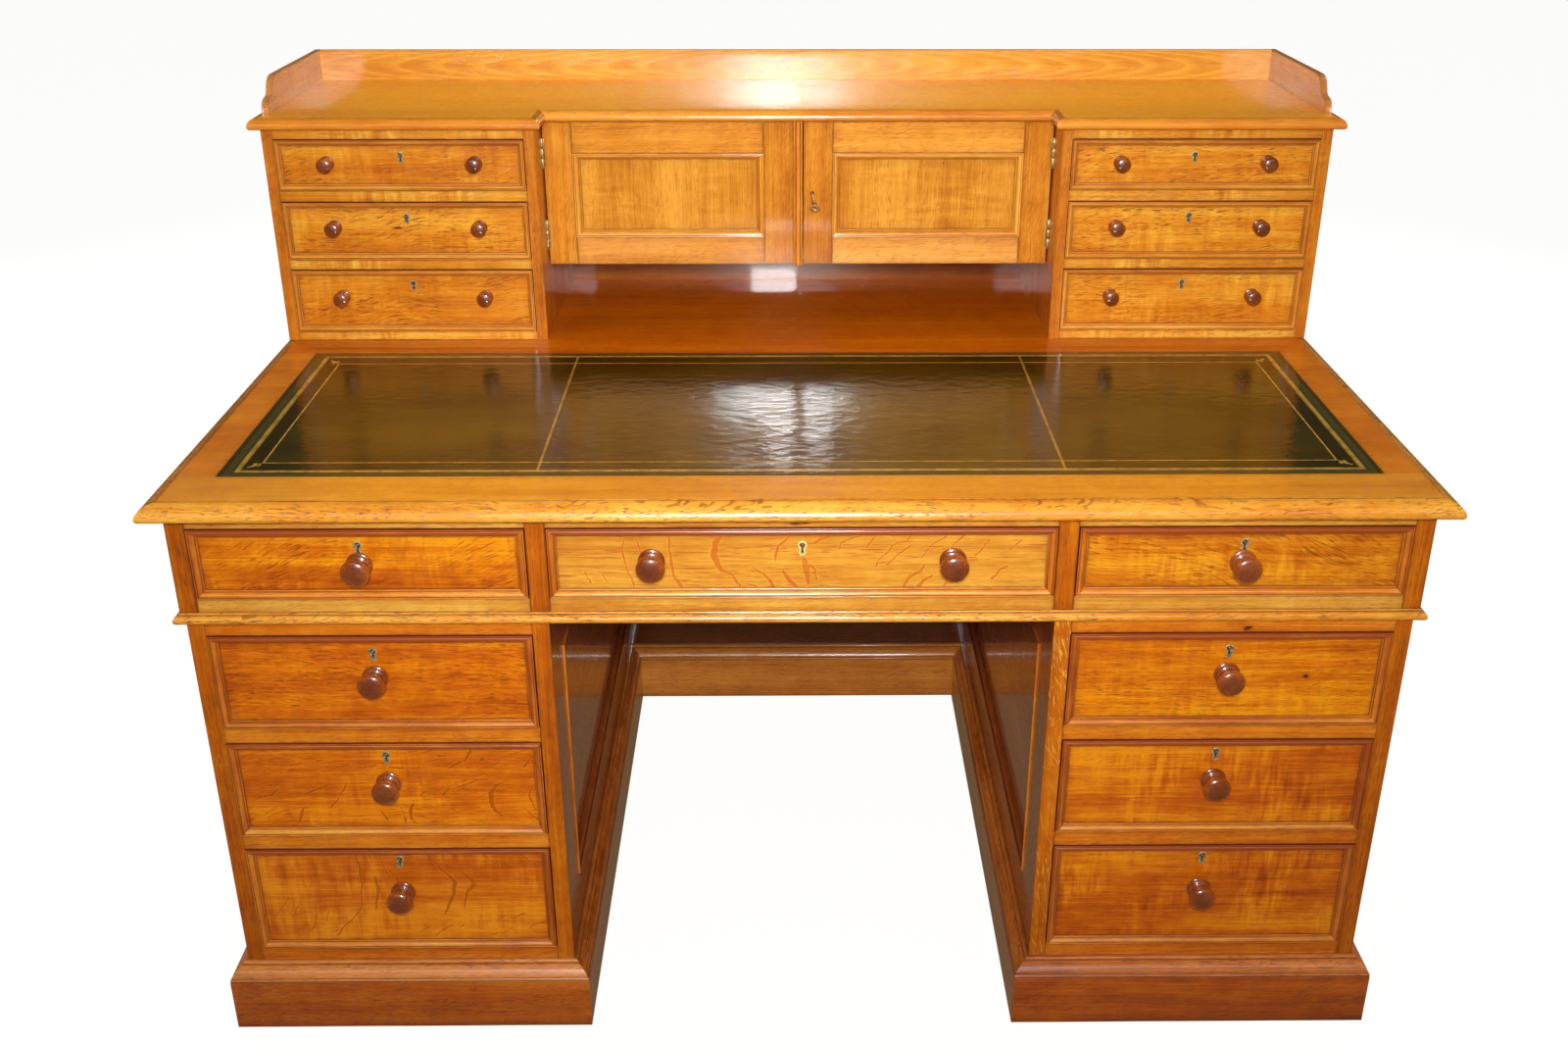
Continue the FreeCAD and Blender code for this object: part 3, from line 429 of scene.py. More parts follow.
RAYED_B = oak("oak_rayed_drawer_low", lin(240, 148, 24), lin(206, 102, 7), lin(158, 62, 4), DASH,
              ray=0.0, fleck=0.1, pore=0.3, slant=0.2, marks=lin(156, 66, 8), mark_power=0.8, curl=0.6, contrast=1.7)
RAIL = oak("oak_rail", lin(236, 148, 34), lin(208, 108, 12), lin(162, 66, 4), DASH,
           ray=0.3, fleck=0.3, pore=0.5, slant=0.2, contrast=1.6)
RAIL_KNOT = oak("oak_rail_knotted", lin(240, 154, 38), lin(212, 112, 14), lin(166, 70, 5), DASH,
                ray=0.3, fleck=0.3, pore=0.5, slant=0.2, contrast=1.6,
                knots=[((0.5345, -0.4334, 0.5917), 0.0019, 1.6), ((0.5372, -0.4334, 0.5934), 0.0017, 2.2)])
RAIL_PATCH = oak("oak_frieze_rail", lin(238, 182, 78), lin(212, 144, 44), lin(176, 100, 20), DASH,
                 ray=0.3, fleck=0.3, pore=0.45, slant=0.2, contrast=1.6,
                 knots=[((-0.0086, -0.4370, 0.7346), 0.0014, 5.0), ((0.0034, -0.4370, 0.7352), 0.0010, 5.0)])
RAIL_UP = oak("oak_rail_upper", lin(250, 186, 70), lin(224, 142, 34), lin(184, 96, 12), DASH,
              ray=0.3, fleck=0.3, pore=0.45, curl=0.8, slant=0.2, contrast=1.6)
STILE = oak("oak_stile", lin(218, 134, 12), lin(190, 97, 4), lin(142, 62, 4), lin(112, 44, 6),
            ray=0.2, fleck=0.2, pore=0.6, slant=0.1, contrast=1.7)
STILE_PALE = oak("oak_stile_flecked", lin(222, 138, 14), lin(190, 98, 4), lin(144, 64, 4), lin(246, 186, 84),
                 ray=0.0, fleck=1.0, pore=0.0, slant=-0.20, contrast=1.6)
SIDE = oak("oak_outer_side", lin(236, 150, 36), lin(206, 110, 12), lin(160, 66, 4), DASH,
           ray=0.5, fleck=0.5, pore=0.5, curl=0.12, slant=0.15, contrast=1.4)
STILE_UP = oak("oak_stile_upper", lin(236, 158, 50), lin(211, 124, 28), lin(170, 84, 11),
               lin(116, 48, 6), ray=0.2, fleck=0.25, pore=0.5, slant=0.1, contrast=1.6)
MOULD = oak("oak_mould", lin(244, 166, 48), lin(213, 121, 22), lin(162, 70, 5), DASH,
            ray=0.0, fleck=0.0, pore=0.4, coat=1.0, coat_rough=0.08, contrast=1.6)
MOULD_UP = oak("oak_mould_upper", lin(246, 176, 66), lin(226, 142, 38), lin(184, 94, 14), DASH,
               ray=0.0, fleck=0.0, pore=0.35, coat=1.0, coat_rough=0.08, contrast=1.5)
TOP = oak("oak_top", lin(236, 160, 39), lin(216, 134, 24), lin(186, 101, 11), DASH,
          ray=0.3, fleck=0.35, pore=0.3, coat=0.5, rough=0.24, ior=1.3)
TOP_END = oak("oak_top_end", lin(230, 144, 26), lin(207, 116, 13), lin(174, 84, 6), DASH,
              ray=0.3, fleck=0.35, pore=0.3, coat=0.45, rough=0.26, ior=1.2)
# rear band of the writing top, under the cupboard and wings: a darker, redder copy of the top's oak, painted shade
TOP_REAR_SHADED = oak("oak_top_rear_painted_shade", lin(228, 134, 8), lin(210, 110, 3), lin(176, 80, 3), DASH,
               ray=0.3, fleck=0.3, pore=0.3, coat=0.5, rough=0.3, coat_rough=0.04, ior=1.2)
EDGE = oak("oak_edge", lin(248, 182, 66), lin(228, 146, 38), lin(182, 98, 16), lin(108, 46, 8),
           ray=0.0, fleck=0.8, slant=0.06, pore=0.8, pore_size=0.6, coat=0.8, rough=0.24, bump=0.6,
           coat_rough=0.08, contrast=1.6)
EDGE_UP = oak("oak_edge_upper", lin(244, 168, 54), lin(226, 138, 32), lin(190, 98, 14),
              lin(110, 46, 8), ray=0.0, fleck=0.0, pore=0.35, coat=0.8, rough=0.22, bump=0.4,
              coat_rough=0.08)
SHELF = oak("oak_shelf", lin(250, 176, 38), lin(240, 154, 22), lin(216, 126, 10), DASH,
            ray=0.0, fleck=0.05, pore=0.1, coat=0.18, rough=0.25, coat_rough=0.07, bump=0.1,
            contrast=0.9, ior=1.36)
FIGURED = oak("oak_figured", lin(246, 189, 84), lin(234, 163, 56), lin(204, 121, 34), DASH,
              ray=0.0, fleck=0.1, pore=0.3, rings=(0.03, -0.023, 4200.0, 16.0), coat=0.85,
              rough=0.17, coat_rough=0.06)
GALLERY_END = oak("oak_gallery_end", lin(226, 164, 92), lin(198, 128, 62), lin(160, 92, 36), DASH,
                  ray=0.0, fleck=0.2, pore=0.5, slant=-0.5, coat=0.5, contrast=1.5)
GALLERY_TOP = oak("oak_gallery_edge", lin(250, 186, 80), lin(236, 158, 52), lin(206, 116, 26), DASH,
                  ray=0.0, fleck=0.0, pore=0.3, coat=0.0, rough=0.55)
# back of the open space under the cupboard: a dark copy of the oak, painted shade
PIGEON_SHADED = oak("oak_pigeon_space_painted_shade", lin(172, 100, 32), lin(142, 76, 20), lin(104, 48, 10), DASH,
             ray=0.2, fleck=0.3, pore=0.4, coat=0.8, rough=0.3, coat_rough=0.03, ior=1.2)
PANEL = oak("oak_panel", lin(226, 159, 57), lin(203, 131, 36), lin(172, 95, 15),
            lin(180, 88, 14), ray=0.5, fleck=0.35, pore=0.6, curl=0.5, slant=0.0, contrast=1.9,
            coat_rough=0.08, ior=1.2)
DOOR = oak("oak_door_frame", lin(240, 164, 60), lin(214, 134, 36), lin(172, 90, 12),
           lin(140, 62, 10), ray=0.35, fleck=0.5, pore=0.35, slant=0.45, coat=1.0,
           coat_rough=0.07, contrast=1.7, ior=1.2)
# door bottom rail: a paler, bluer copy of the door oak, a painted sheen for the glow on the rail
DOOR_LOW_SHEEN = oak("oak_door_bottom_rail_painted_sheen", lin(244, 172, 84), lin(222, 146, 58), lin(184, 104, 28),
               lin(150, 72, 20), ray=0.3, fleck=0.5, pore=0.3, slant=0.3, coat=1.0,
               coat_rough=0.07, contrast=1.6, ior=1.26)
DARK = oak("oak_plinth", lin(210, 114, 16), lin(184, 84, 5), lin(134, 52, 5), lin(70, 24, 4),
           ray=0.35, fleck=0.5, pore=0.6, coat=0.8, rough=0.28, coat_rough=0.08, contrast=1.6)
# upper plinth moulding: a paler copy of the plinth oak, painted light on the up-facing moulding
DARK_TOP_LIT = oak("oak_plinth_moulding_painted_light", lin(228, 142, 62), lin(204, 112, 40), lin(150, 68, 16), lin(70, 24, 4),
               ray=0.0, fleck=0.2, pore=0.6, coat=0.8, rough=0.28, coat_rough=0.1, contrast=1.7)
REAR = oak("oak_rear_plinth", lin(224, 146, 58), lin(198, 118, 40), lin(156, 82, 20), lin(90, 38, 8),
           ray=0.2, fleck=0.3, pore=0.5, coat=0.7, rough=0.28, contrast=1.6)
# kneehole sides: a darker, redder copy of the side oak, painted shade in the recess
KNEE_SHADED = oak("oak_kneehole", lin(200, 106, 48), lin(164, 77, 29), lin(114, 47, 15), lin(44, 14, 4),
           ray=0.2, fleck=0.3, pore=0.5, coat=0.6, rough=0.24, coat_rough=0.08, contrast=1.5)
# kneehole back: a much darker copy, painted shadow cast by the top
KNEE_BACK_SHADOWED = oak("oak_kneehole_back", lin(132, 66, 22), lin(106, 46, 12), lin(74, 28, 7),
                lin(40, 13, 4), ray=0.2, fleck=0.3, pore=0.5, coat=0.9, rough=0.2, coat_rough=0.06)
RAW = oak("oak_raw", lin(210, 164, 104), lin(186, 136, 80), lin(152, 104, 56), lin(104, 66, 32),
          ray=0.15, fleck=0.2, pore=0.6, rough=0.6, coat=0.0, bump=0.35, edge_grime_shade=0.5)
AGED = oak("oak_aged_back", lin(166, 106, 50), lin(140, 84, 36), lin(104, 58, 22), lin(58, 32, 12),
           ray=0.15, fleck=0.2, pore=0.6, rough=0.5, coat=0.1, bump=0.35, edge_grime_shade=0.5)
AGED_OBJ = oak("oak_aged_inside", lin(166, 106, 50), lin(140, 84, 36), lin(104, 58, 22),
               lin(58, 32, 14), ray=0.0, fleck=0.0, pore=0.5, rough=0.55, coat=0.05,
               by_object=(0, 0, 0))
RAW_OBJ = oak("oak_raw_inside", lin(196, 150, 92), lin(172, 124, 70), lin(138, 92, 48),
              lin(100, 66, 34), ray=0.0, fleck=0.0, pore=0.5, rough=0.62, coat=0.0,
              by_object=(0, 0, 0))
KNOB = oak("knob_wood", lin(200, 110, 38), lin(156, 70, 15), lin(102, 40, 7), lin(52, 18, 4),
           ray=0.0, fleck=0.0, pore=0.3, pore_size=0.5, rough=0.2, coat=1.0,
           coat_rough=0.03, bump=0.04, edge_grime_shade=0.8, contrast=1.7)


for m in (FIELD, FIELD_P, FIELD_B, FIELD_K, FIELD_SOFT, FIELD_UP, FIELD_UP_K, RAYED, RAYED_B, RAIL,
          RAIL_KNOT, STILE, STILE_PALE, STILE_UP, RAIL_UP, SIDE):
    for nd in m.node_tree.nodes:
        if nd.bl_idname == "ShaderNodeBsdfPrincipled":
            nd.inputs["IOR"].default_value = 1.33


def metal(name, base, tint, rough, scratch=0.35, metallic=0.6):
    n = Nodes(name)
    p = n.coord()
    a = n.noise(p, 260.0, 4.0, 0.6)
    b = n.noise(p, 1400.0, 2.0)
    col = n.mix(n.step(a, 0.42, 0.66), base, tint)
    n.set("Base Color", col)
    n.set("Metallic", metallic)
    n.set("Roughness", n.m("MULTIPLY_ADD", b, scratch * 0.5, rough))
    n.bump(n.m("MULTIPLY_ADD", a, 0.6, n.m("MULTIPLY", b, 0.4)), 0.2, 0.0002)
    return n.mat


BRASS = metal("aged_brass", lin(196, 168, 104), lin(116, 92, 52), 0.36)
DULL = metal("dull_escutcheon", lin(186, 168, 128), lin(118, 98, 64), 0.42, metallic=0.3)
BRIGHT = metal("bright_brass", lin(255, 240, 170), lin(240, 214, 130), 0.28, metallic=0.4)
IRON = metal("dark_lock_plate", lin(92, 70, 44), lin(48, 34, 20), 0.5, metallic=0.5)
# warm brassy tint on the key: partly its own worn metal, partly a painted reflection of the orange wood
STEEL_WARM_REFLECTION = metal("worn_key_steel_painted_reflection", lin(226, 190, 140), lin(132, 92, 58), 0.18, metallic=0.75)


def plain(name, colour, rough):
    n = Nodes(name)
    v = n.noise(n.coord(), 900.0, 2.0)
    n.set("Base Color", n.mix(v, colour, tuple(0.6 * c for c in colour)))
    n.set("Roughness", rough)
    return n.mat


# near-black sheet for the dark inside a hole: painted shade
HOLE_SHADE = plain("keyhole_painted_shade", (0.012, 0.008, 0.005), 0.8)


# ================================================================== geometry
AXES = {
    "x": ((1, 0, 0), (0, 0, 1), (0, 1, 0)),      # along x, seen from the front
    "z": ((0, 0, 1), (1, 0, 0), (0, 1, 0)),      # upright, seen from the front
    "xt": ((1, 0, 0), (0, 1, 0), (0, 0, 1)),     # along x, seen from above
    "yt": ((0, 1, 0), (1, 0, 0), (0, 0, 1)),     # along y, seen from above
    "ys": ((0, 1, 0), (0, 0, 1), (1, 0, 0)),     # along y, seen from the side
    "zs": ((0, 0, 1), (0, 1, 0), (1, 0, 0)),     # upright, seen from the side
}
FAR = (1.0, 1.0, 1.0, 1.0)


def dot(a, b):
    return a[0] * b[0] + a[1] * b[1] + a[2] * b[2]


class Piece:
    """One visible piece: boards, mouldings and turnings in one mesh."""

    def __init__(self, name, body, nodes, slot):
        self.name, self.body, self.nodes, self.slot = name, body, nodes, slot
        self.v, self.f, self.fm, self.g, self.t, self.d, self.e = [], [], [], [], [], [], []
        self.r = {}
        self.mats = []

    def add(self, pts, faces, mat, axes="x", tone=None, grime_and_shade=None, edges=None, shift=None):
        if mat not in self.mats:
            self.mats.append(mat)
        mi = self.mats.index(mat)
        base = len(self.v)
        al, ac, th = AXES[axes] if isinstance(axes, str) else axes
        if shift is None:
            shift = (rng.uniform(0, 30), rng.uniform(0, 30), rng.uniform(0, 30))
        if tone is None:
            tone = rng.uniform(-0.45, 0.45)
        for i, p in enumerate(pts):
            self.v.append((p[0] / 1000, (p[1] - Y_MID) / 1000, p[2] / 1000))
            q = (p[0] / 1000, p[1] / 1000, p[2] / 1000)
            self.g.append((dot(q, al) + shift[0], dot(q, ac) + shift[1], dot(q, th) + shift[2]))
            self.t.append(tone)
            self.d.append(grime_and_shade[i] if grime_and_shade else 0.0)
            self.e.append(edges[i] if edges else FAR)
        for f in faces:
            self.f.append(tuple(base + k for k in f))
            self.fm.append(mi)

    # -- a board with eased arrises; edge_grime_shade names the faces that darken
    #    at their edges with grime and painted shade: the distances are kept for the face that looks that way
    def board(self, x0, x1, y0, y1, z0, z1, mat, axes="x", r=0.7, tone=None, shift=None,
              edge_grime_shade=None, seg=2):
        x0, x1 = min(x0, x1), max(x0, x1)
        y0, y1 = min(y0, y1), max(y0, y1)
        z0, z1 = min(z0, z1), max(z0, z1)
        bm = bmesh.new()
        bmesh.ops.create_cube(bm, size=1.0)
        for v in bm.verts:
            v.co = Vector(((x0, x1)[v.co.x > 0], (y0, y1)[v.co.y > 0], (z0, z1)[v.co.z > 0]))
        rr = min(r, 0.3 * min(x1 - x0, y1 - y0, z1 - z0))
        if rr > 0.02:
            bmesh.ops.bevel(bm, geom=list(bm.edges), offset=rr, segments=seg, profile=0.5,
                            affect="EDGES", clamp_overlap=True)
        bm.verts.index_update()
        pts = [tuple(v.co) for v in bm.verts]
        faces = [[v.index for v in f.verts] for f in bm.faces]
        bm.free()
        ed = None
        if edge_grime_shade == "y":
            ed = [((p[0] - x0) / 1000, (x1 - p[0]) / 1000, (p[2] - z0) / 1000, (z1 - p[2]) / 1000)
                  for p in pts]
        elif edge_grime_shade == "z":
            ed = [((p[0] - x0) / 1000, (x1 - p[0]) / 1000, (p[1] - y0) / 1000, (y1 - p[1]) / 1000)
                  for p in pts]
        elif edge_grime_shade == "x":
            ed = [((p[1] - y0) / 1000, (y1 - p[1]) / 1000, (p[2] - z0) / 1000, (z1 - p[2]) / 1000)
                  for p in pts]
        elif callable(edge_grime_shade):
            ed = [edge_grime_shade(p) for p in pts]
        self.add(pts, faces, mat, axes, tone, None, ed, shift)

    # -- a moulding: the profile (o, u, grime_and_shade) swept from a to b; the last value is grime and painted shade in the quirks
    def mould(self, prof, a, b, out, up, ma, mb, mat, tone=None, closed=True, cuts=1, wob=0.0):
        a, b = Vector(a), Vector(b)
        out, up = Vector(out), Vector(up)
        t = (b - a).normalized()
        rows = []
        grime_and_shade = []
        pts = []
        for k in range(cuts + 1):
            s = k / cuts
            for o, u, d in prof:
                p0 = a + out * o + up * u + t * (ma * o)
                p1 = b + out * o + up * u + t * (mb * o)
                p = p0.lerp(p1, s)
                if wob and 0 < k < cuts:
                    w = wob * math.sin(3.1 * k + 1.7) * math.sin(1.3 * k + 0.4)
                    p = p + up * w
                pts.append(tuple(p))
                grime_and_shade.append(d)
        n = len(prof)
        faces = []
        flip = t.cross(out).dot(up) < 0
        for k in range(cuts):
            for i in range(n if closed else n - 1):
                j = (i + 1) % n
                q = [k * n + i, k * n + j, (k + 1) * n + j, (k + 1) * n + i]
                faces.append(q if flip else q[::-1])
        c0 = list(range(n))
        c1 = [cuts * n + i for i in range(n)]
        faces.append(c0[::-1] if flip else c0)
        faces.append(c1 if flip else c1[::-1])
        ax = (tuple(t), tuple(up), tuple(out))
        self.add(pts, faces, mat, ax, tone, grime_and_shade)

    def frame(self, prof, x0, x1, z0, z1, y, mat, tone=None):
        up = (0, -1, 0)
        self.mould(prof, (x0, y, z0), (x1, y, z0), (0, 0, 1), up, 1, -1, mat, tone)
        self.mould(prof, (x0, y, z1), (x1, y, z1), (0, 0, -1), up, 1, -1, mat, tone)
        self.mould(prof, (x0, y, z0), (x0, y, z1), (1, 0, 0), up, 1, -1, mat, tone)
        self.mould(prof, (x1, y, z0), (x1, y, z1), (-1, 0, 0), up, 1, -1, mat, tone)

    def turn(self, prof, centre, mat, seg=40, axis=(0, -1, 0), tone=None):
        """prof: (distance, radius, grime_and_shade) from back to front; the last value is grime and painted shade."""
        ax = Vector(axis).normalized()
        u = Vector((1, 0, 0)) if abs(ax.x) < 0.9 else Vector((0, 0, 1))
        u = (u - ax * u.dot(ax)).normalized()
        w = ax.cross(u)
        c = Vector(centre)
        pts, grime_and_shade, faces = [], [], []
        rows = []
        for d, r, k in prof:
            if r < 1e-6:
                rows.append([len(pts)])
                pts.append(tuple(c + ax * d))
                grime_and_shade.append(k)
            else:
                row = []
                for i in range(seg):
                    t = TAU * i / seg
                    row.append(len(pts))
                    pts.append(tuple(c + ax * d + u * (r * math.cos(t)) + w * (r * math.sin(t))))
                    grime_and_shade.append(k)
                rows.append(row)
        for p, q in zip(rows[:-1], rows[1:]):
            for i in range(seg):
                j = (i + 1) % seg
                if len(p) == 1 and len(q) == 1:
                    continue
                if len(p) == 1:
                    faces.append([p[0], q[i], q[j]])
                elif len(q) == 1:
                    faces.append([p[i], p[j], q[0]][::-1] if False else [p[i], p[j], q[0]])
                else:
                    faces.append([p[i], p[j], q[j], q[i]])
        if len(rows[0]) > 1:
            faces.append(rows[0][::-1])
        if len(rows[-1]) > 1:
            faces.append(list(rows[-1]))
        self.add(pts, faces, mat, (tuple(ax), tuple(u), tuple(w)), tone, grime_and_shade)

    # -- flat plate of any outline with holes, in the XZ plane, y0 to y1
    def plate(self, outline, holes, y0, y1, mat, axes="x", tone=None, shift=None, edges=None,
              wall=None, back=True):
        loops = [outline] + holes
        flat = [[Vector((x, z, 0)) for x, z in lp] for lp in loops]
        tri = tessellate_polygon(flat)
        allp = [p for lp in loops for p in lp]
        n = len(allp)
        pts = [(x, y0, z) for x, z in allp] + [(x, y1, z) for x, z in allp]
        faces = []
        for t in tri:
            a, b, c = (allp[k] for k in t)
            area = (b[0] - a[0]) * (c[1] - a[1]) - (c[0] - a[0]) * (b[1] - a[1])
            f = list(t) if area > 0 else list(t)[::-1]       # looks towards -y
            faces.append(f)
            if back:
                faces.append([k + n for k in f[::-1]])
        base = 0
        for li, lp in enumerate(loops):
            m = len(lp)
            area = sum(lp[i][0] * lp[(i + 1) % m][1] - lp[(i + 1) % m][0] * lp[i][1] for i in range(m))
            for i in range(m):
                j = (i + 1) % m
                q = [base + i, base + j, base + j + n, base + i + n]
                if (area > 0) == (li == 0):
                    q = q[::-1]
                faces.append(q)
            base += m
        ed = [edges(p) for p in pts] if edges else None
        self.add(pts, faces, mat, axes, tone, None, ed, shift)

    # -- block with a finely divided front that carries the big rays
    def rayed(self, x0, x1, z0, z1, y0, y1, mat, tone, shift, edges, chains, pitch=1.2):
        nx, nz = max(1, round((x1 - x0) / pitch)), max(1, round((z1 - z0) / pitch))
        base = len(self.v)
        pts = [(x0 + (x1 - x0) * i / nx, y0, z0 + (z1 - z0) * j / nz)
               for j in range(nz + 1) for i in range(nx + 1)]
        front = len(pts)
        pts += [(x0, y1, z0), (x1, y1, z0), (x1, y1, z1), (x0, y1, z1)]
        w = nx + 1
        faces = [[j * w + i, j * w + i + 1, (j + 1) * w + i + 1, (j + 1) * w + i]
                 for j in range(nz) for i in range(nx)]
        c = [front + k for k in range(4)]
        faces.append(c[::-1])
        faces.append([i for i in range(nx, -1, -1)] + [c[0], c[1]])
        faces.append([nz * w + i for i in range(w)] + [c[2], c[3]])
        faces.append([j * w for j in range(nz + 1)] + [c[3], c[0]])
        faces.append([j * w + nx for j in range(nz, -1, -1)] + [c[1], c[2]])
        self.add(pts, faces, mat, "x", tone, None, [edges(p) for p in pts], shift)
        for k in range(front):
            x, z = pts[k][0] / 1000, pts[k][2] / 1000
            q = noise.noise_vector(Vector((x * 90, 3.7, z * 90)))
            h = noise.noise_vector(Vector((x * 310, 8.1, z * 310)))
            x, z = x + q.x * 0.0015 + h.x * 0.0012, z + q.z * 0.0015 + h.z * 0.0012
            best = 0.0
            for ch in chains:
                for (ax, az, aw), (bx, bz, bw) in zip(ch, ch[1:]):
                    if min(ax, bx) - 0.005 < x < max(ax, bx) + 0.005:
                        dx, dz = bx - ax, bz - az
                        t = max(0.0, min(1.0, ((x - ax) * dx + (z - az) * dz) / (dx * dx + dz * dz)))
                        d = math.hypot(x - ax - dx * t, z - az - dz * t) - 1.5 * (aw + (bw - aw) * t)
                        best = max(best, min(1.0, 0.5 - d / 0.0024))
            if best > 0:
                self.r[base + k] = best

    def make(self, sharp=48.0, weighted=True):
        me = bpy.data.meshes.new(self.name)
        me.from_pydata(self.v, [], self.f)
        for m in self.mats:
            me.materials.append(m)
        me.polygons.foreach_set("material_index", self.fm)
        me.polygons.foreach_set("use_smooth", [True] * len(self.f))
        a = me.attributes.new("g", "FLOAT_VECTOR", "POINT")
        a.data.foreach_set("vector", [c for p in self.g for c in p])
        a = me.attributes.new("tone", "FLOAT", "POINT")
        a.data.foreach_set("value", self.t)
        a = me.attributes.new("grime_and_shade", "FLOAT", "POINT")
        a.data.foreach_set("value", self.d)
        if self.r:
            a = me.attributes.new("rays", "FLOAT", "POINT")
            a.data.foreach_set("value", [self.r.get(k, 0.0) for k in range(len(self.v))])
        a = me.attributes.new("e", "FLOAT_COLOR", "POINT")
        a.data.foreach_set("color", [c for p in self.e for c in p])
        me.validate()
        me.update()
        bm = bmesh.new()
        bm.from_mesh(me)
        bmesh.ops.recalc_face_normals(bm, faces=bm.faces)
        bm.to_mesh(me)
        bm.free()
        me.set_sharp_from_angle(angle=math.radians(sharp))
        ob = bpy.data.objects.new(self.name, me)
        bpy.context.scene.collection.objects.link(ob)
        if weighted:
            w = ob.modifiers.new("even_normals", "WEIGHTED_NORMAL")
            w.mode = "FACE_AREA"
            w.weight = 60
            w.keep_sharp = True
        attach(ob, self.body)
        if self.nodes:
            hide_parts(*self.nodes)
        return ob


# ------------------------------------------------------------------ profiles
def arc(c, r, a0, a1, n, d=0.0, ry=None):
    """Points on an arc, degrees, as (o, u, grime_and_shade): the last value is grime and painted shade."""
    ry = r if ry is None else ry
    return [(c[0] + r * math.cos(math.radians(a0 + (a1 - a0) * k / n)),
             c[1] + ry * math.sin(math.radians(a0 + (a1 - a0) * k / n)), d)
            for k in range(n + 1)]


def scaled(prof, so, su):
    return [(o * so, u * su, d) for o, u, d in prof]


# drawer moulding: outer fillet, quirk, ovolo, small inner step (10.5 x 6)
DRAWER_MOULD = ([(0, 0, 0.9), (0, 4.9, 0.7)] + arc((0.5, 4.9), 0.5, 180, 90, 2, 0.15)
                + [(1.3, 5.4, 0.0), (1.55, 5.15, 0.5), (1.75, 4.55, 1.0), (2.1, 4.6, 0.8)]
                + arc((4.2, 3.7), 2.35, 150, 62, 6, 0.0)
                + [(6.4, 5.05, 0.0), (7.3, 4.15, 0.0), (8.0, 3.0, 0.1), (8.35, 2.05, 0.5),
                   (8.45, 1.75, 0.9), (8.6, 1.55, 0.8)]
                + [(9.5, 1.5, 0.1), (10.1, 1.3, 0.15), (10.4, 0.9, 0.4), (10.5, 0, 1.0)])


def keyhole(x, z, r, w, drop, n=14, foot=None):
    """Outline of a keyhole, anticlockwise: round head, slot, round foot."""
    foot = max(foot or w, w)
    th = math.degrees(math.asin(min(0.98, w / r)))
    head = [(x + r * math.cos(math.radians(a)), z + r * math.sin(math.radians(a)))
            for a in [(-90 + th) + (360 - 2 * th) * k / n for k in range(n + 1)]]
    b = math.degrees(math.acos(min(1.0, w / foot)))
    low = [(x + foot * math.cos(math.radians(a)), z - drop + foot * math.sin(math.radians(a)))
           for a in [(180 - b) + (180 + 2 * b) * k / 8 for k in range(9)]]
    return head + low


def rings(piece, loops, mat, cap=None, tone=0.0):
    """Skin over loops of equal length, each (points2d, y)."""
    pts, faces = [], []
    n = len(loops[0][0])
    for lp, y in loops:
        pts += [(x, y, z) for x, z in lp]
    for k in range(len(loops) - 1):
        for i in range(n):
            j = (i + 1) % n
            faces.append([k * n + i, k * n + j, (k + 1) * n + j, (k + 1) * n + i])
    piece.add(pts, faces, mat, "x", tone)


# -------------------------------------------------------------- turned knobs
# knob profile (distance, radius, grime and painted shade): the last column darkens the quirks and the face
BIG = [(-1.0, 13.0, 0.9), (0.0, 15.0, 0.9), (0.5, 15.7, 0.5), (1.3, 16.15, 0.0), (2.3, 16.1, 0.0),
       (3.2, 15.4, 0.1), (3.7, 14.4, 0.5), (3.95, 13.5, 0.9), (4.35, 13.15, 0.6),
       (5.2, 13.0, 0.0), (6.0, 12.5, 0.0), (6.6, 11.6, 0.2), (6.95, 10.6, 0.7), (7.5, 9.9, 0.8),
       (8.6, 9.2, 0.4), (10.4, 8.7, 0.2), (12.4, 8.6, 0.2), (14.2, 9.0, 0.3), (15.6, 9.9, 0.5),
       (16.3, 11.0, 0.9), (16.7, 12.0, 0.5), (17.3, 13.0, 0.1), (18.5, 14.6, 0.0),
       (20.2, 16.0, 0.0), (22.0, 16.9, 0.0), (23.8, 17.1, 0.0), (25.4, 16.8, 0.0),
       (27.0, 15.9, 0.1), (28.3, 14.3, 0.3), (29.3, 12.2, 0.55), (30.1, 9.6, 0.7),
       (30.75, 6.6, 0.75), (31.15, 3.4, 0.8), (31.35, 0.0, 0.8)]
SMALL = [(d * 0.69, r * 0.658, k) for d, r, k in BIG]


# ------------------------------------------------------------------- drawers
FIELD_BACK = 3.5


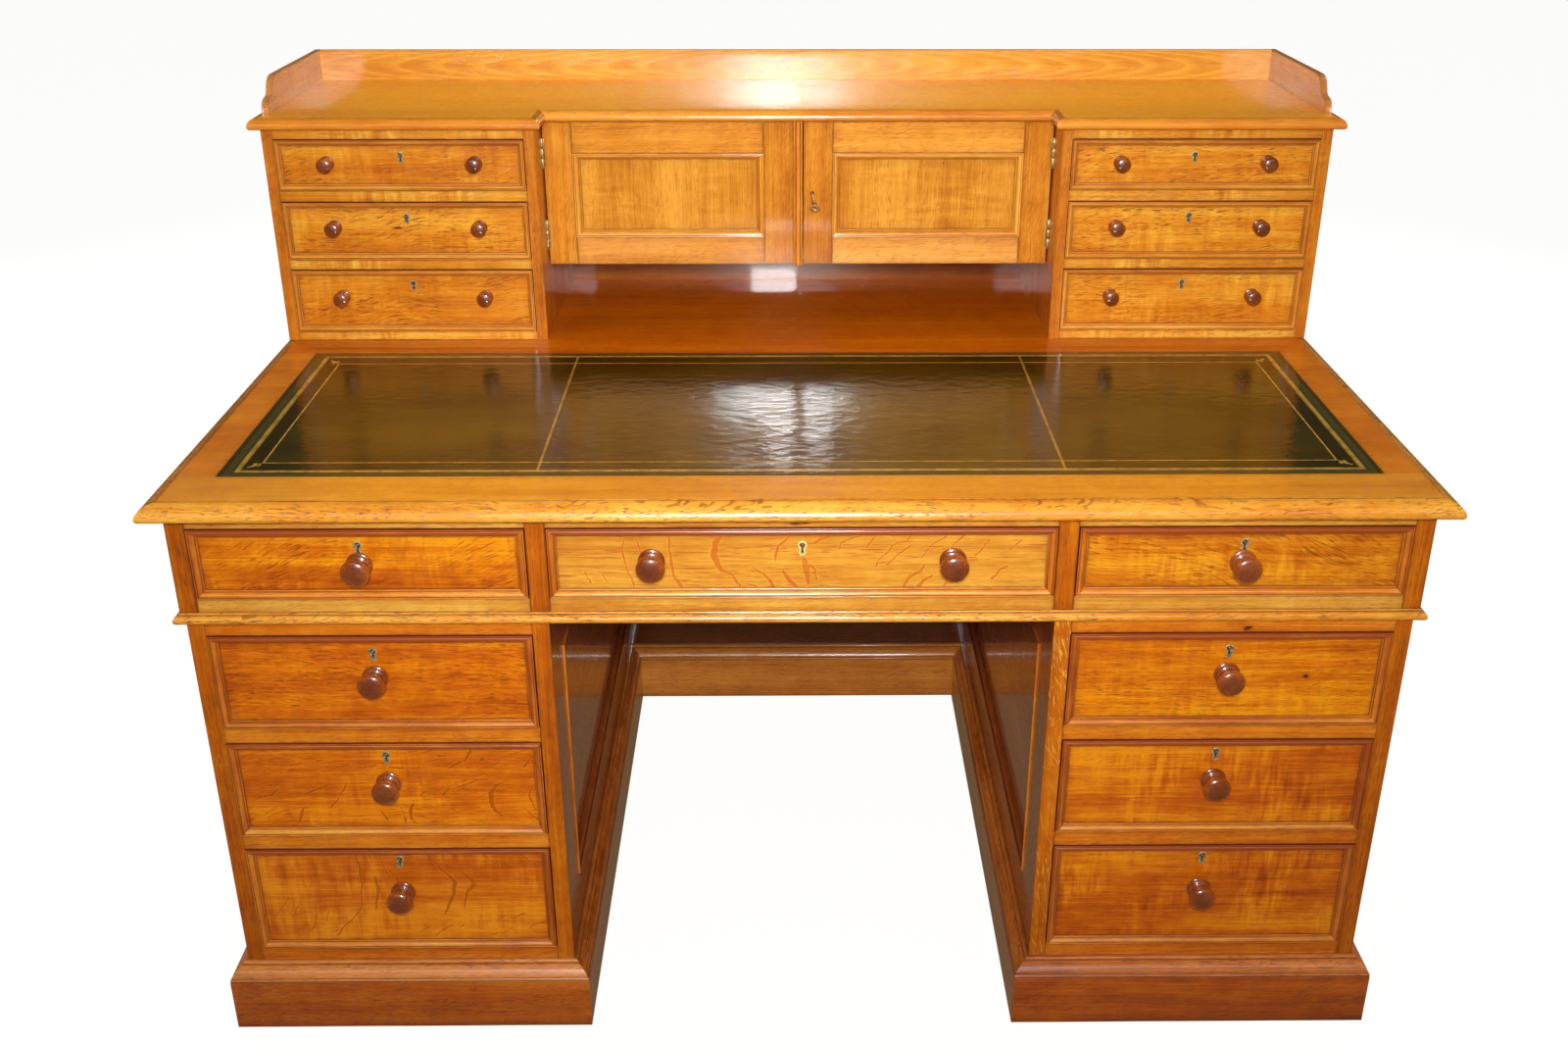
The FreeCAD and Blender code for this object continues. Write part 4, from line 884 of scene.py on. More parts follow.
def drawer(name, x0, x1, opening, y_face, length, knobs, knob_z, key_z, large, gap=1.2,
           front=FIELD, tone=0.0, esc=DULL, knob_tone=(0.0,), rays=None):
    z0, z1 = opening[0] + 0.8, opening[1] - 1.2
    a, b = x0 + gap, x1 - gap
    fy = y_face + FIELD_BACK
    back = y_face + (22.0 if large else 18.0)
    ts, tb = (11.0, 6.0) if large else (8.0, 5.0)
    mid = (a + b) / 2
    mw = 10.5 if large else 8.2
    prof = DRAWER_MOULD if large else scaled(DRAWER_MOULD, 0.781, 1.0)
    p = Piece(name + "_front_and_box", name, [name + "_drawer"], "oak")
    r, w, drop = (5.0, 3.2, 9.0) if large else (4.2, 2.7, 7.0)

    # distances from the mouldings' inner edge: the field darkens there with grime and painted shade
    def edges(q):
        return ((q[0] - a - mw) / 1000, (b - mw - q[0]) / 1000,
                (q[2] - z0 - mw) / 1000, (z1 - mw - q[2]) / 1000)

    rect = [(a, z0), (b, z0), (b, z1), (a, z1)]
    hole = keyhole(mid, key_z, r - 0.05, w - 0.05, drop)
    if rays:
        sh = tuple(rng.uniform(0, 30) for _ in range(3))
        u0, u1, v0, v1 = mid - 8, mid + 8, key_z - 16, key_z + 8
        p.plate([(u0, v0), (u1, v0), (u1, v1), (u0, v1)], [hole], fy, back, front, "x", tone, sh, edges)
        for blk in ((a, u0, z0, z1), (u1, b, z0, z1), (u0, u1, z0, v0), (u0, u1, v1, z1)):
            p.rayed(*blk, fy, back, front, tone, sh, edges, rays)
    else:
        p.plate(rect, [hole], fy, back, front, "x", tone, None, edges)
    mt = tone * 0.6
    up = (0, -1, 0)
    # mouldings round the field: the top one painted much darker and the sides darker than the bottom, as painted
    # shade
    shade_scale = 1.0 if large else 0.45
    for A, B, o, lit_shade_tone in (((a, fy, z0), (b, fy, z0), (0, 0, 1), 0.1), ((a, fy, z1), (b, fy, z1), (0, 0, -1), -2.0),
                        ((a, fy, z0), (a, fy, z1), (1, 0, 0), -0.9),
                        ((b, fy, z0), (b, fy, z1), (-1, 0, 0), -0.8)):
        p.mould(prof, A, B, o, up, 1, -1, MOULD if large else MOULD_UP,
                mt + shade_scale * lit_shade_tone + rng.uniform(-0.3, 0.3))
    # box
    bx0, bx1 = a + 0.6, b - 0.6
    s0, s1 = opening[0] + 0.5, z1 - (7.0 if large else 5.0)
    end = y_face + length
    p.board(bx0, bx0 + ts, back, end, s0, s1, RAW, "ys", 1.2)
    p.board(bx1 - ts, bx1, back, end, s0, s1, RAW, "ys", 1.2)
    p.board(bx0 + ts, bx1 - ts, end - ts, end, s0 + 9 + tb, s1, RAW, "x", 1.2)
    p.board(bx0 + ts, bx1 - ts, back, end, s0 + 9, s0 + 9 + tb, RAW, "xt", 0.3)
    for k, kx in enumerate(knobs):
        p.turn(BIG if large else SMALL, (mid + kx, fy, knob_z), KNOB, 44 if large else 32,
               tone=knob_tone[k % len(knob_tone)])
    p.make()
    # thread escutcheon, the lock's pin and its case behind the front
    q = Piece(name + "_escutcheon", name, [name + "_lock"], "brass")
    t = 1.55 if large else 1.25

    def ko(k):
        return keyhole(mid, key_z, r - k, w - k - 0.45, drop + 0.4, 14, w - k + 0.55)

    rings(q, [(ko(-0.3), fy + 0.6), (ko(-0.65), fy - 0.05), (ko(-0.55), fy - 0.4), (ko(-0.2), fy - 0.6),
              (ko(t - 0.35), fy - 0.6), (ko(t - 0.05), fy - 0.2), (ko(t), fy + 0.3),
              (ko(t), fy + 4.2)], esc)
    inner = ko(t + 0.02)
    q.plate(inner, [], fy + 4.0, fy + 5.0, IRON, "x", 0.0)
    q.turn([(-4.2, 1.0, 0), (-1.2, 1.0, 0), (-0.8, 0.7, 0), (-0.7, 0.0, 0)],
           (mid, fy, key_z), BRASS, 12)
    q.board(mid - 22, mid + 22, back - 8, back + 0.4, key_z - 19, key_z + 9, BRASS, "x", 0.6)
    q.make(weighted=False)


PED_OUT, PED_IN, PED_Y, PED_T = 734.3, 302.6, 26.6, 20.6
PED_OPEN = ((455.5, 587.0), (296.2, 435.4), (115.5, 275.6))
FR_Y, FR_X, FR_OPEN = 23.0, 738.5, (637.8, 729.9)
UP_X, UP_Y, WING_IN, WING_T = 751.0, 599.0, 370.0, 15.2
WING_OPEN = ((988.1, 1060.2), (888.0, 972.3), (779.9, 873.3))
BACK_Y, UP_BACK = 905.0, 921.0

looks = {   # front material, tone
    "left_wing_1": (FIELD_UP, -0.2), "left_wing_2": (FIELD_UP_K, 0.15), "left_wing_3": (FIELD_UP, 0.0),
    "right_wing_1": (FIELD_UP, 0.2), "right_wing_2": (FIELD_UP, 0.15), "right_wing_3": (FIELD_UP, 0.1),
    "left_pedestal_1": (FIELD_P, 0.0), "left_pedestal_2": (RAYED, 0.5),
    "left_pedestal_3": (RAYED_B, 0.4),
    "right_pedestal_1": (FIELD_K, 0.0), "right_pedestal_2": (FIELD_SOFT, 0.1),
    "right_pedestal_3": (FIELD_SOFT, -0.15),
    "left_frieze": (FIELD, 0.35), "right_frieze": (FIELD_B, 0.0),
    "centre_frieze": (CENTRE, -0.15),
}
for side, s in (("left", -1), ("right", 1)):
    a, b = sorted((s * (WING_IN + WING_T), s * (UP_X - 15)))
    for i, (op, kz, hz) in enumerate(zip(WING_OPEN, (1026.0, 934.5, 831.5),
                                         (1037.5, 950.5, 852.0))):
        n = "%s_wing_%d" % (side, i + 1)
        drawer(n, a, b, op, UP_Y, 298.0, (-104.0, 104.0), kz, hz, False, 0.9,
               looks[n][0], looks[n][1])
    a, b = sorted((s * (PED_IN + PED_T), s * (PED_OUT - PED_T)))
    for i, (op, kz, hz) in enumerate(zip(PED_OPEN, (528.0, 374.5, 204.5),
                                         (562.5, 415.0, 256.0))):
        n = "%s_pedestal_%d" % (side, i + 1)
        drawer(n, a, b, op, PED_Y, 690.0, (0.0,), kz, hz, True, 1.2, looks[n][0], looks[n][1],
               rays={"left_pedestal_2": RAYS_L2, "left_pedestal_3": RAYS_L3}.get(n))
    a, b = sorted((s * 322.6, s * (FR_X - 23)))
    n = side + "_frieze"
    drawer(n, a, b, FR_OPEN, FR_Y, 640.0, (0.0,), 682.0, 707.0, True, 1.2,
           looks[n][0], looks[n][1])
drawer("centre_frieze", -299.0, 299.0, FR_OPEN, FR_Y, 640.0, (-177.0, 177.0), 685.5, 705.0,
       True, 1.2, looks["centre_frieze"][0], looks["centre_frieze"][1], BRIGHT, rays=RAYS)

# --------------------------------------------------------------- writing top
H, TZ = 762.0, 767.0
EDGE_PROF = ([(0, -21, 0.6), (0, 0, 0.2), (1.0, 0.0, 0.0), (1.5, -0.25, 0.3), (1.8, -0.75, 0.9),
              (2.2, -0.9, 0.6)]
             + [(4.5, -1.1, 0.0), (8.0, -1.7, 0.0), (11.5, -2.9, 0.0), (14.6, -4.6, 0.0),
                (17.4, -6.9, 0.0), (19.7, -9.6, 0.0), (21.2, -12.4, 0.0), (21.9, -15.0, 0.0),
                (21.8, -17.0, 0.0), (21.0, -18.9, 0.1), (19.6, -20.3, 0.3), (17.6, -21.0, 0.6)])
p = Piece("writing_top_boards", "carcass", ["writing_top"], "oak")
ex = H - 22.0
lx, ly0, ly1 = 695.0, 90.0, 537.0
sh = (3.1, 5.2, 7.7)


def top_edges(q):
    # grime and painted shade along the leather's rim
    return ((abs(q[0]) - lx) / 1000 if abs(q[0]) > lx - 1 else 1.0, 1.0,
            abs(q[1] - ly0) / 1000 if abs(q[0]) <= lx + 1 and q[1] < 200 else 1.0, 1.0)


def grid_board(piece, xs, ys, z0, z1, mat, axes, tone, shift, rim=None):
    """Flat board whose top is cut into cells, so that the rim's grime and painted shade can be kept."""
    pts, faces, ed = [], [], []
    nx, ny = len(xs), len(ys)
    for z in (z1, z0):
        for y in ys:
            for x in xs:
                pts.append((x, y, z))
                ed.append(rim(x, y) if rim else FAR)
    for j in range(ny - 1):
        for i in range(nx - 1):
            q = [j * nx + i, j * nx + i + 1, (j + 1) * nx + i + 1, (j + 1) * nx + i]
            faces.append(q)
            faces.append([k + nx * ny for k in q[::-1]])
    ring = ([i for i in range(nx)] + [j * nx + nx - 1 for j in range(1, ny)]
            + [(ny - 1) * nx + i for i in range(nx - 2, -1, -1)]
            + [j * nx for j in range(ny - 2, 0, -1)])
    m = nx * ny
    for a, b in zip(ring, ring[1:] + ring[:1]):
        faces.append([b, a, a + m, b + m])
    piece.add(pts, faces, mat, axes, tone, None, ed, shift)


# distance to the leather's rim: the top darkens there with grime and painted shade
def rim(x, y):
    dx = max(abs(x) - lx, 0) / 1000
    dy = max(ly0 - y, y - ly1, 0) / 1000
    d = math.hypot(dx, dy)
    return (d, 1.0, 1.0, 1.0)


grid_board(p, [-ex, -lx - 4, -lx, -400, 0, 400, lx, lx + 4, ex], [22.0, ly0 - 4, ly0], TZ - 21, TZ,
           TOP, "xt", 0.35, sh, rim)
# rear band in the shaded copy with a darker tone: painted shade
grid_board(p, [-ex, -lx - 4, -lx, -400, 0, 400, lx, lx + 4, ex], [ly1, ly1 + 4, 925.0], TZ - 21, TZ,
           TOP_REAR_SHADED, "xt", -0.6, (13.1, 5.2, 7.7), rim)
for s in (-1, 1):
    xs = sorted([s * lx, s * (lx + 4), s * ex])
    grid_board(p, xs, [ly0, (ly0 + ly1) / 2, ly1], TZ - 21, TZ, TOP_END, "xt", 0.0,
               (5.0 + s, 9.2, 7.7), rim)
grid_board(p, [-lx, 0, lx], [ly0, ly1], TZ - 21, TZ - 1.6, TOP, "xt", 0.0, sh)
p.mould(EDGE_PROF, (-ex, 22, TZ), (ex, 22, TZ), (0, -1, 0), (0, 0, 1), -1, 1, EDGE, 0.2)
p.mould(EDGE_PROF, (-ex, 22, TZ), (-ex, 925, TZ), (-1, 0, 0), (0, 0, 1), -1, 0, EDGE, -0.4)
p.mould(EDGE_PROF, (ex, 22, TZ), (ex, 925, TZ), (1, 0, 0), (0, 0, 1), -1, 0, EDGE, -0.3)
p.make(60)


def leather_material():
    n = Nodes("leather_tooled")
    c = n.coord()
    s = n.sep(c)
    ax = n.m("ABSOLUTE", s[0])
    y = n.m("ADD", s[1], Y_MID / 1000)

    def box_d(a, y0, y1):
        yy = n.m("ABSOLUTE", n.m("SUBTRACT", y, (y0 + y1) / 2000))
        return n.m("MAXIMUM", n.m("SUBTRACT", ax, a / 1000),
                   n.m("SUBTRACT", yy, (y1 - y0) / 2000))

    d_band = box_d(675.4, 105.0, 522.5)
    d_thin = box_d(651.0, 132.0, 492.0)
    wear = n.noise(c, 55.0, 4.0, 0.6)
    wear2 = n.noise(c, 420.0, 2.0, 0.6)
    # gilt rope band
    phase = n.m("MULTIPLY", n.m("ADD", s[0], n.m("MULTIPLY", s[1], 1.0)), TAU / 0.0042)
    rope = n.m("MULTIPLY_ADD", n.m("SINE", phase), 0.5, 0.5)
    near = n.m("ABSOLUTE", d_band)
    low = n.m("MULTIPLY_ADD", rope, -0.0030, -0.0018)
    teeth = n.m("MULTIPLY", n.step(n.m("SUBTRACT", d_band, low), -0.0003, 0.0004),
                n.step(d_band, 0.0010, 0.0004))
    teeth = n.m("MULTIPLY", teeth, n.m("MULTIPLY_ADD", rope, 0.45, 0.55))
    line = n.m("MULTIPLY", n.step(near, 0.0030, 0.0024), n.step(d_band, -0.0002, 0.0004))
    band = n.m("MAXIMUM", teeth, n.m("MULTIPLY", line, 0.6))
    thin = n.step(n.m("ABSOLUTE", d_thin), 0.00125, 0.0007)
    # dotted dividers
    inside = n.step(d_band, 0.0, -0.001)
    dx = n.m("ABSOLUTE", n.m("SUBTRACT", ax, 0.3165))
    dots = n.m("MULTIPLY_ADD", n.m("SINE", n.m("MULTIPLY", s[1], TAU / 0.0045)), 0.5, 0.5)
    zig = n.m("ABSOLUTE", n.m("SUBTRACT", n.m("SUBTRACT", ax, 0.3165),
                              n.m("MULTIPLY_ADD", dots, 0.0022, -0.0011)))
    div = n.m("MULTIPLY", n.m("MAXIMUM", n.m("MULTIPLY", n.step(zig, 0.0010, 0.0005), 0.8),
                              n.m("MULTIPLY", n.step(dx, 0.0020, 0.0014), 0.3)), inside)
    # corner fleurons outside the thin line, pointing at the corners
    u = n.m("SUBTRACT", ax, 0.6575)
    w = n.m("SUBTRACT", n.m("ABSOLUTE", n.m("SUBTRACT", y, 0.312)), 0.1865)
    pp = n.m("MULTIPLY", n.m("ADD", u, w), 0.7071)
    qq = n.m("ABSOLUTE", n.m("MULTIPLY", n.m("SUBTRACT", u, w), 0.7071))

    def ell(cp, cq, rp, rq):
        a = n.m("DIVIDE", n.m("SUBTRACT", pp, cp), rp)
        b = n.m("DIVIDE", n.m("SUBTRACT", qq, cq), rq)
        r = n.m("ADD", n.m("MULTIPLY", a, a), n.m("MULTIPLY", b, b))
        return n.step(r, 1.15, 0.85)

    fl = n.m("MAXIMUM", ell(0.0035, 0.0, 0.0055, 0.0020), ell(-0.001, 0.0042, 0.0028, 0.0017))
    fl = n.m("MAXIMUM", fl, n.m("MAXIMUM", ell(0.0105, 0.0, 0.0013, 0.0013),
                                ell(-0.0045, 0.0, 0.0025, 0.0012)))
    gold = n.m("MAXIMUM", n.m("MAXIMUM", band, thin), n.m("MAXIMUM", div, fl))
    gold = n.m("MULTIPLY", gold, n.m("MULTIPLY_ADD", n.step(wear, 0.40, 0.55), 0.45, 0.55))
    gold = n.m("MULTIPLY", gold, n.m("MULTIPLY_ADD", n.step(wear2, 0.3, 0.5), 0.3, 0.7), 0.0, True)
    # blind tooling in the dark border
    border = n.m("MULTIPLY", n.step(d_band, 0.0050, 0.0058), n.step(d_band, 0.0150, 0.0135))
    wave = n.m("SINE", n.m("MULTIPLY", n.m("SUBTRACT", s[0], s[1]), TAU / 0.0065))
    wav2 = n.m("SINE", n.m("MULTIPLY", n.m("ADD", s[0], s[1]), TAU / 0.0065))
    blind = n.m("MULTIPLY", n.step(n.m("MULTIPLY", wave, wav2), 0.05, 0.5), border)
    # leather itself
    blot = n.noise(n.map(c, (3.0, 7.0, 1.0)), 1.0, 4.0, 0.6)
    base = n.ramp(blot, [(0.34, lin(44, 35, 3)), (0.52, lin(62, 49, 4)), (0.68, lin(82, 64, 6))])
    out = n.m("MULTIPLY", n.step(ax, 0.45, 0.69), 0.2)
    out = n.m("ADD", out, n.m("MULTIPLY", n.m("MULTIPLY", n.step(ax, 0.45, 0.69),
                                              n.step(d_thin, -0.001, 0.001)), 0.45))
    base = n.mix(out, base, lin(26, 19, 2))
    base = n.mix(n.step(d_band, -0.002, 0.002), base, lin(50, 44, 16))
    base = n.mix(n.m("MULTIPLY", blind, 0.8), base, lin(104, 100, 44))
    col = n.mix(gold, base, lin(228, 176, 72))
    n.set("Base Color", col)
    n.set("Metallic", n.m("MULTIPLY", gold, 0.3))
    g1 = n.noise(c, 900.0, 3.0, 0.6)
    wr = n.noise(n.map(c, (38.0, 120.0, 1.0)), 1.0, 4.0, 0.62, 0.8)
    swell = n.noise(n.map(c, (40.0, 60.0, 1.0)), 1.0, 2.0)
    h = n.m("MULTIPLY_ADD", g1, 0.10, n.m("MULTIPLY", wr, 0.45))
    h = n.m("MULTIPLY_ADD", swell, 1.2, h)
    h = n.m("SUBTRACT", h, n.m("MULTIPLY", n.m("MAXIMUM", gold, blind), 0.35))
    n.set("Roughness", n.m("MULTIPLY_ADD", blot, 0.08, 0.04))
    n.set("IOR", 1.41)
    n.set("Coat Weight", 0.3)
    n.set("Coat Roughness", 0.05)
    n.bump(h, 0.32, 0.0016)
    n.t.links.new(n.bsdf.inputs["Normal"].links[0].from_socket, n.bsdf.inputs["Coat Normal"])
    return n.mat


LEATHER = leather_material()
p = Piece("leather_inset", "carcass", ["leather_inset"], "leather")
xs = [-lx + 0.3, -lx + 2.0] + [-690 + 1380 * k / 60 for k in range(61)] + [lx - 2.0, lx - 0.3]
ys = [ly0 + 0.3, ly0 + 2.0] + [ly0 + 5 + (ly1 - ly0 - 10) * k / 20 for k in range(21)] + [ly1 - 2.0, ly1 - 0.3]
pts, faces = [], []
for y in ys:
    for x in xs:
        e = min(lx - abs(x), y - ly0, ly1 - y)
        z = TZ - 0.05 - 0.45 * math.exp(-e / 0.7) + 0.12 * math.sin(x / 47.0 + y / 61.0) * math.sin(y / 33.0)
        pts.append((x, y, z))
nx = len(xs)
for j in range(len(ys) - 1):
    for i in range(nx - 1):
        faces.append([j * nx + i, j * nx + i + 1, (j + 1) * nx + i + 1, (j + 1) * nx + i])
m = len(pts)
ring = ([i for i in range(nx)] + [j * nx + nx - 1 for j in range(1, len(ys))]
        + [(len(ys) - 1) * nx + i for i in range(nx - 2, -1, -1)]
        + [j * nx for j in range(len(ys) - 2, 0, -1)])
low = [(pts[k][0], pts[k][1], TZ - 1.5) for k in ring]
pts += low
for k in range(len(ring)):
    j = (k + 1) % len(ring)
    faces.append([ring[j], ring[k], m + k, m + j])
faces.append([m + k for k in range(len(ring))][::-1])
p.add(pts, faces, LEATHER, "xt", 0.0)
p.make(60, weighted=False)

# ------------------------------------------------------------ frieze section
p = Piece("frieze_end_boards", "carcass", ["frieze_ends"], "oak")
for s in (-1, 1):
    p.board(s * (FR_X - 23), s * FR_X, FR_Y, 46.0, 620, 746, STILE, "z", 0.8, 0.2, None, "y")
    p.board(s * (FR_X - 23), s * FR_X, 46.0, BACK_Y, 620, 746, SIDE, "ys", 0.6, -0.2)
p.make()
p = Piece("frieze_front_rails", "carcass", ["frieze_rails"], "oak")
for s in (-1, 1):
    p.board(s * 299.0, s * 322.6, FR_Y, 47.0, 620, 746, STILE, "z", 0.6, 0.2, None, "y")
for a, b in ((-(FR_X - 23), -322.6), (-299.0, 299.0), (322.6, FR_X - 23)):
    p.board(a, b, FR_Y, 47.0, 620, 637.8, RAIL_PATCH, "x", 0.6, 0.15, None, "y")
    p.board(a, b, FR_Y, 47.0, 729.9, 746, RAIL_PATCH, "x", 0.6, 0.0, None, "y")
p.make()
WAIST = ([(0, 0, 0.5), (0, 14, 0.5), (29.6, 14.0, 0.4), (30.9, 14.0, 0.0), (31.5, 13.6, 0.0),
          (31.7, 12.9, 0.1), (31.6, 12.2, 0.8), (31.9, 11.6, 1.0), (32.6, 11.3, 0.4)]
         + [(34.2, 10.7, 0.0), (35.7, 9.6, 0.0), (36.8, 8.2, 0.0), (37.4, 6.6, 0.0),
            (37.5, 5.0, 0.0), (37.1, 3.4, 0.0), (36.2, 2.0, 0.0), (34.8, 0.9, 0.1), (33.0, 0.2, 0.4),
            (30.5, 0.0, 0.9)])
p = Piece("waist_moulding", "carcass", ["waist_moulding"], "oak")
wx, wy = FR_X - 30.0, FR_Y + 30.0
p.mould(WAIST, (-wx, wy, 606), (wx, wy, 606), (0, -1, 0), (0, 0, 1), -1, 1, EDGE, 0.35)
p.mould(WAIST, (-wx, wy, 606), (-wx, BACK_Y, 606), (-1, 0, 0), (0, 0, 1), -1, 0, EDGE, -0.2)
p.mould(WAIST, (wx, wy, 606), (wx, BACK_Y, 606), (1, 0, 0), (0, 0, 1), -1, 0, EDGE, -0.2)
p.make(50)

# ----------------------------------------------------------------- pedestals
SIDE_MOULD = ([(0, 0, 1.0), (0, 7.9, 0.5), (-0.7, 8.05, 0.2), (-0.8, 9.6, 0.0), (-0.3, 10.2, 0.0),
               (0.6, 10.4, 0.0), (1.5, 10.1, 0.0), (2.0, 9.0, 0.9), (2.4, 7.2, 0.6)] + [(4.0, 7.0, 0.0), (5.8, 6.2, 0.0), (7.4, 4.9, 0.0),
                                   (8.6, 3.3, 0.1), (9.2, 2.0, 0.8), (9.6, 1.6, 0.4),
                                   (10.6, 1.2, 0.0), (11.0, 0.0, 1.0)])


def framed_side(p, x_face, n, mat, mo, panel, tone, stile=STILE):
    x_in = x_face - n * 20.6
    ya, yb, za, zb = PED_Y + 88.4, BACK_Y - 88.4, 169.0, 522.0
    lip = PED_Y + 3.0
    p.board(x_in, x_face, PED_Y, lip, 12, 606, stile, "z", 0.9, tone + 0.15)
    p.board(x_in, x_face, lip, ya, 12, 606, mat, "zs", 0.0, tone)
    p.board(x_in, x_face, yb, BACK_Y, 12, 606, mat, "zs", 0.6, tone)
    p.board(x_in, x_face, ya, yb, 12, za, mat, "ys", 0.5, tone)
    p.board(x_in, x_face, ya, yb, zb, 606, mat, "ys", 0.5, tone)
    a, b = x_face - n * 8.0, x_face - n * 16.0

    def ed(q):
        return ((q[1] - ya - 11) / 1000, (yb - 11 - q[1]) / 1000,
                (q[2] - za - 11) / 1000, (zb - 11 - q[2]) / 1000)
    p.board(a, b, ya, yb, za, zb, panel, "ys", 0.0, tone, None, ed)
    for A, B, o in (((a, ya, za), (a, yb, za), (0, 0, 1)), ((a, ya, zb), (a, yb, zb), (0, 0, -1)),
                    ((a, ya, za), (a, ya, zb), (0, 1, 0)), ((a, yb, za), (a, yb, zb), (0, -1, 0))):
        near = A[1] == B[1] == ya
        p.mould(SIDE_MOULD, A, B, o, (n, 0, 0), 1, -1, MOULD if near else mo, -0.4 if near else tone)


for side, s in (("left", -1), ("right", 1)):
    p = Piece(side + "_pedestal_side_frames", "carcass", [side + "_pedestal_sides"], "oak")
    # front edges of the stiles show in the face of the desk
    framed_side(p, s * PED_OUT, s, SIDE, MOULD, SIDE, -0.2)
    # the kneehole side frames take the shaded copy: painted shade
    framed_side(p, s * PED_IN, -s, KNEE_SHADED, KNEE_SHADED, KNEE_SHADED, 0.0, STILE_PALE if s > 0 else STILE)
    p.make()
    p = Piece(side + "_pedestal_rails", "carcass", [side + "_pedestal_rails"], "oak")
    a, b = sorted((s * (PED_IN + PED_T), s * (PED_OUT - PED_T)))
    lv = ((587.0, 606.0, 0.35), (435.4, 455.5, 0.4), (275.6, 296.2, 0.3), (80.0, 115.5, 0.1))
    for z0, z1, t in lv:
        p.board(a, b, PED_Y, PED_Y + 24, z0, z1, RAIL_KNOT if s > 0 and z0 > 500 else RAIL, "x",
                0.6, t, None, "y")
    p.make()

p = Piece("kneehole_back_panel", "carcass", ["kneehole_back"], "oak")
# back panel in the darkest copy: painted shadow
p.board(-PED_IN, PED_IN, 872.0, 890.0, 12, 606, KNEE_BACK_SHADOWED, "x", 0.3, -0.6)
p.make()

# ------------------------------------------------------------------- plinths
PL = 21.0
PLINTH = ([(0, 0, 0.6), (PL - 0.6, 0, 0.6), (PL, 0.8, 0.5), (PL, 8.0, 0.15), (PL, 74.6, 0.0),
           (PL - 0.2, 75.2, 0.3), (PL - 0.9, 75.7, 0.9), (PL - 0.9, 76.1, 0.9)]
          + [(PL - 0.3, 76.7, 0.2), (PL - 0.15, 77.9, 0.0), (PL - 0.7, 79.0, 0.0),
             (PL - 1.5, 79.4, 0.7), (PL - 1.9, 79.8, 0.7)]
          + [(PL - 2.3, 81.4, 0.0), (PL - 3.6, 84.0, 0.0), (PL - 5.8, 86.9, 0.0),
             (PL - 8.6, 89.6, 0.0), (PL - 11.6, 91.7, 0.0), (PL - 14.0, 92.9, 0.2),
             (PL - 14.7, 93.1, 0.9), (PL - 14.9, 93.8, 0.7)]
          + [(PL - 15.1, 95.9, 0.0), (PL - 15.8, 97.2, 0.0), (PL - 17.0, 97.8, 0.1), (0, 98.0, 0.8)])
PLINTH_A = PLINTH[:7] + [(0, 75.7, 0.5)]
PLINTH_B = [(0, 75.7, 0.5)] + PLINTH[6:]
UPZ = (0, 0, 1)
for side, s in (("left", -1), ("right", 1)):
    p = Piece(side + "_plinth", "carcass", [side + "_plinth"], "oak_dark")
    xo, xi = s * PED_OUT, s * PED_IN
    a, b = sorted((xo, xi))
    # the upper moulding takes the paler copy and a lighter tone: painted light where it faces up
    for prof, mt, lit_shade_tone in ((PLINTH_A, DARK, 0.0), (PLINTH_B, DARK_TOP_LIT, 0.2)):
        p.mould(prof, (a, PED_Y, 0), (b, PED_Y, 0), (0, -1, 0), UPZ, -1, 1, mt,
                (0.65 if s < 0 else -0.4) + lit_shade_tone, cuts=8, wob=0.12)
        p.mould(prof, (xo, PED_Y, 0), (xo, BACK_Y, 0), (s, 0, 0), UPZ, -1, 0, mt, 0.0)
        p.mould(prof, (xi, PED_Y, 0), (xi, 872, 0), (-s, 0, 0), UPZ, -1, -1, mt, -0.6)
    p.make(50)
p = Piece("rear_plinth", "carcass", ["rear_plinth"], "oak_dark")
p.mould(PLINTH, (-PED_IN, 872, 0), (PED_IN, 872, 0), (0, -1, 0), UPZ, 1, -1, REAR, 0.0)
p.make(50)

# ------------------------------------------------------------ superstructure
p = Piece("upper_case_sides", "carcass", ["upper_sides"], "oak")
for s in (-1, 1):
    p.board(s * (UP_X - 15), s * UP_X, UP_Y, UP_BACK, TZ, 1075, STILE_UP, "zs", 0.8, -0.05, None)
    xi, xo = s * WING_IN, s * (WING_IN + WING_T)
    # inner side: the front arris facing the doors is rounded above its stop
    secs = []
    for z, r in ((TZ, 0.7), (840, 0.7), (848, 0.9), (856, 4.4), (862, 5.6), (1075, 5.6)):
        arcp = [(xi + s * (r - r * math.cos(math.radians(t))), UP_Y + (r - r * math.sin(math.radians(t))))
                for t in (0, 22.5, 45, 67.5, 90)]
        secs.append([(x, y, z) for x, y in arcp] + [(xo, UP_Y, z), (xo, UP_BACK, z), (xi, UP_BACK, z)])
    pts = [q for sec in secs for q in sec]
    n = len(secs[0])
    faces = [[k * n + i, k * n + (i + 1) % n, (k + 1) * n + (i + 1) % n, (k + 1) * n + i]
             for k in range(len(secs) - 1) for i in range(n)]
    faces += [list(range(n)), [len(pts) - n + i for i in range(n)][::-1]]
    p.add(pts, faces, STILE_UP, "zs", -0.15)
p.make()
p = Piece("upper_case_rails", "carcass", ["upper_rails"], "oak")
for s in (-1, 1):
    a, b = sorted((s * (WING_IN + WING_T), s * (UP_X - 15)))
    for z0, z1, t in ((1060.2, 1075, 0.0), (972.3, 988.1, 0.25), (873.3, 888.0, 0.2), (TZ, 779.9, 0.0)):
        p.board(a, b, UP_Y, UP_Y + 21, z0, z1, RAIL_UP, "x", 0.5, t, None, "y")
p.make()
p = Piece("upper_case_back", "carcass", ["upper_back"], "oak")
